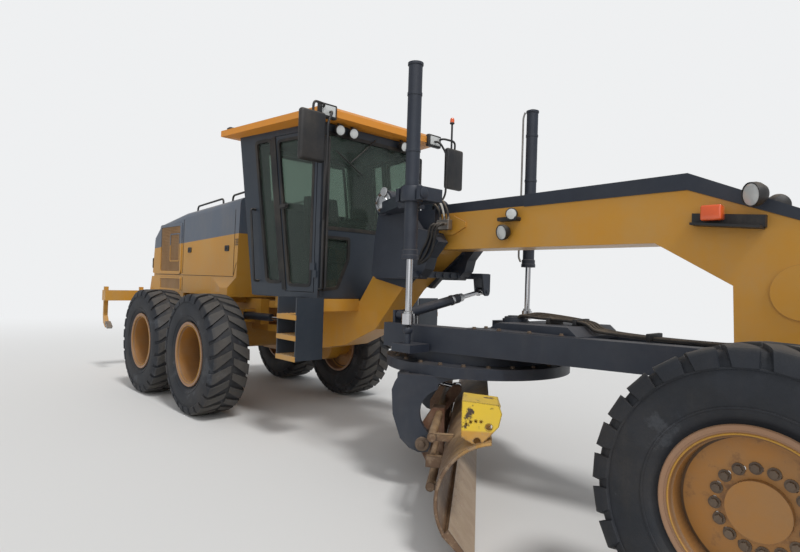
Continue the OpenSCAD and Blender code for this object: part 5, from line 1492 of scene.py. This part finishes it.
def pivot_caps(bm):
    """Round covers on the outer ends of the blade's pivot in the circle's arms."""
    for side in (-1, 1):
        start, end = in_circle(-0.374, side * 0.7005, 0.355), in_circle(-0.374, side * 2, 0.355)
        turned(bm, [(-0.003, 0.052), (0.010, 0.052), (0.014, 0.048), (0.014, 0.026), (0.020, 0.024), (0.032, 0.022),
                    (0.034, 0.018), (0.034, 0)], start, end, 32)


piece("Pivot_caps", pivot_caps, "blade_carrier", BOLT_STEEL, "charcoal_paint", 35)


# -------------------- lift cylinders

def lift_gland(side):
    """Gland at the foot of the barrel, cap on its top, and two bands."""
    def build(bm):
        turned_up(bm, [(0, 0.040), (0.002, 0.066), (0.030, 0.066), (0.034, 0.062), (0.070, 0.062),
                       (0.074, 0.056), (0.076, 0.053)], (LIFT_X, side * LIFT_Y, 1.708), 36)
        turned_up(bm, [(0, 0.053), (0.004, 0.060), (0.022, 0.060), (0.026, 0.050), (0.034, 0.030), (0.036, 0)],
                  (LIFT_X, side * LIFT_Y, 3.178), 32)
        for z in (2.52, 2.95):
            turned_up(bm, [(0, 0.0535), (0.001, 0.0575), (0.022, 0.0575), (0.023, 0.0535)],
                      (LIFT_X, side * LIFT_Y, z), 32)
    return build


def lift_collar(side):
    """Round clamp on the barrel, between its two trunnions."""
    def build(bm):
        turned_up(bm, [(0, 0.054), (0.004, 0.082), (0.012, 0.086), (0.108, 0.086), (0.116, 0.082), (0.120, 0.054)],
                  (LIFT_X, side * LIFT_Y, 2.14), 40)
        for way in (-1, 1):
            turned(bm, [(0, 0.036), (0.004, 0.041), (0.010, 0.041), (0.014, 0.034), (0.014, 0)],
                   (LIFT_X + way * 0.127, side * LIFT_Y, 2.20), (LIFT_X + way * 5, side * LIFT_Y, 2.20), 28)
    return build


def lift_pipes(side):
    """Two pipes on the barrel's inner side, one to its top and one to its foot."""
    return [rounded_line([(x, side * (LIFT_Y - inwards), z) for x, inwards, z in line], r) for r, line in
            ((0.03, ((3.70, 0.035, 3.19), (3.688, 0.045, 3.14), (3.688, 0.045, 2.34), (3.70, 0.10, 2.28))),
             (0.02, ((3.712, 0.058, 1.76), (3.692, 0.062, 1.80), (3.692, 0.062, 2.09), (3.70, 0.08, 2.12))))]


def lift_sleeve(side):
    """Ring at the foot of the rod."""
    return lambda bm: turned_up(bm, [(0, 0.030), (0.002, 0.036), (0.045, 0.036), (0.050, 0.030)],
                                (LIFT_X, side * LIFT_Y, 1.268), 28)


for side_name, side in BOTH:
    barrel = "lift_barrel_" + side_name
    piece("Lift_collar_" + side_name, lift_collar(side), barrel, CHARCOAL, "charcoal_paint", 35)
    piece("Lift_glands_" + side_name, lift_gland(side), barrel, CHARCOAL, "charcoal_paint", 35)
    piping("Lift_pipes_" + side_name, lift_pipes(side), 0.009, STEEL, 10, barrel, "charcoal_paint")
    piece("Lift_sleeve_" + side_name, lift_sleeve(side), "lift_rod_" + side_name, SILVER, "chrome_rod", 35)


# -------------------- ripper and frame bolts

def shift_sleeve(bm):
    """Silver gland sleeve on the centre-shift barrel, where its rod comes out."""
    foot, head = Vector(SHIFT_FOOT), Vector(SHIFT_HEAD)
    way = (head - foot).normalized()
    turned(bm, [(0, 0.0425), (0.004, 0.047), (0.020, 0.047), (0.024, 0.038), (0.150, 0.038), (0.156, 0.034),
                (0.158, 0.0225)], tuple(foot + way * 0.60), tuple(head), 28)


piece("Shift_sleeve", shift_sleeve, "shift_barrel", SILVER, "charcoal_paint", 35)


def ripper_tips(bm):
    """Worn points on the shanks, with their pins."""
    back, apart = -2.71, 0.53
    for i in range(5):
        y = (i - 2) * apart
        plate(bm, [(back + 0.135, 0.695), (back + 0.098, 0.662), (back - 0.004, 0.728), (back + 0.012, 0.772)],
              (y - 0.038, y + 0.038), upright)
        rod(bm, (back + 0.035, y - 0.046, 0.735), (back + 0.035, y + 0.046, 0.735), 0.009, 10)


piece("Ripper_tips", ripper_tips, "ripper_beam", STEEL, "body_paint", 30)


# Six bolts on each of the saddle's round heads
saddle_bolts = [((SADDLE_X + 0.078 * cos(k * pi / 3), side * 0.3995, SADDLE_Z + 0.078 * sin(k * pi / 3)),
                 (0, side, 0)) for side in (-1, 1) for k in range(6)]
studs("Saddle_bolts", BOLT, saddle_bolts, "front", BOLT_STEEL, size=0.9)


# -------------------- stage

def studio():
    """A pale floor that fades into the background, a soft key, a fill and the room's own light."""
    background = (0.86, 0.87, 0.88, 1)
    bm = bmesh.new()
    bmesh.ops.create_circle(bm, cap_ends=True, segments=96, radius=40)
    mesh = bpy.data.meshes.new("Studio floor")
    bm.to_mesh(mesh)
    bm.free()
    floor = bpy.data.objects.new("Studio_floor", mesh)
    bpy.context.scene.collection.objects.link(floor)
    floor.location.z = -0.002
    material = bpy.data.materials.new("Pale floor")
    material.use_nodes = True
    t = Tree(material.node_tree)
    shader = material.node_tree.nodes["Principled BSDF"]
    shader.inputs["Base Color"].default_value = (0.72, 0.71, 0.69, 1)
    shader.inputs["Roughness"].default_value = 0.9
    place = t.add("ShaderNodeTexCoord").outputs["Object"]
    away = t.between(t.add("ShaderNodeVectorMath", {0: place}, operation="LENGTH").outputs["Value"], 6.0, 17.0)
    rays = t.add("ShaderNodeLightPath").outputs
    seen = t.math("MAXIMUM", rays["Is Camera Ray"],
                  t.math("MAXIMUM", rays["Is Glossy Ray"], rays["Is Transmission Ray"]))
    glow = t.add("ShaderNodeEmission", {"Color": background, "Strength": 1.0})
    mixed = t.add("ShaderNodeMixShader", {0: t.math("MULTIPLY", away, seen), 1: shader.outputs[0],
                                          2: glow.outputs[0]})
    out = material.node_tree.nodes["Material Output"]
    material.node_tree.links.new(mixed.outputs[0], out.inputs["Surface"])
    mesh.materials.append(material)

    world = bpy.data.worlds.new("Studio")
    bpy.context.scene.world = world
    world.use_nodes = True
    t = Tree(world.node_tree)
    room = world.node_tree.nodes["Background"]
    room.inputs["Color"].default_value = (0.93, 0.96, 1.0, 1)
    room.inputs["Strength"].default_value = 0.52
    rays = t.add("ShaderNodeLightPath").outputs
    seen = t.math("MAXIMUM", rays["Is Camera Ray"], rays["Is Transmission Ray"])
    pale = t.add("ShaderNodeBackground", {"Color": background, "Strength": 1.0})
    mixed = t.add("ShaderNodeMixShader", {0: seen, 1: room.outputs[0], 2: pale.outputs[0]})
    world.node_tree.links.new(mixed.outputs[0], world.node_tree.nodes["World Output"].inputs["Surface"])

    for name, aim, strength, spread in (("Key_light", (-0.55, 0.10, -0.83), 1.7, 12),
                                        ("Fill_light", (-0.55, 0.75, -0.35), 0.55, 60)):
        lamp = bpy.data.lights.new(name, "SUN")
        lamp.energy = strength
        lamp.angle = radians(spread)
        thing = bpy.data.objects.new(name, lamp)
        thing.rotation_euler = Vector(aim).to_track_quat("-Z", "Y").to_euler()
        bpy.context.scene.collection.objects.link(thing)


studio()
bpy.context.scene.view_settings.view_transform = "Standard"
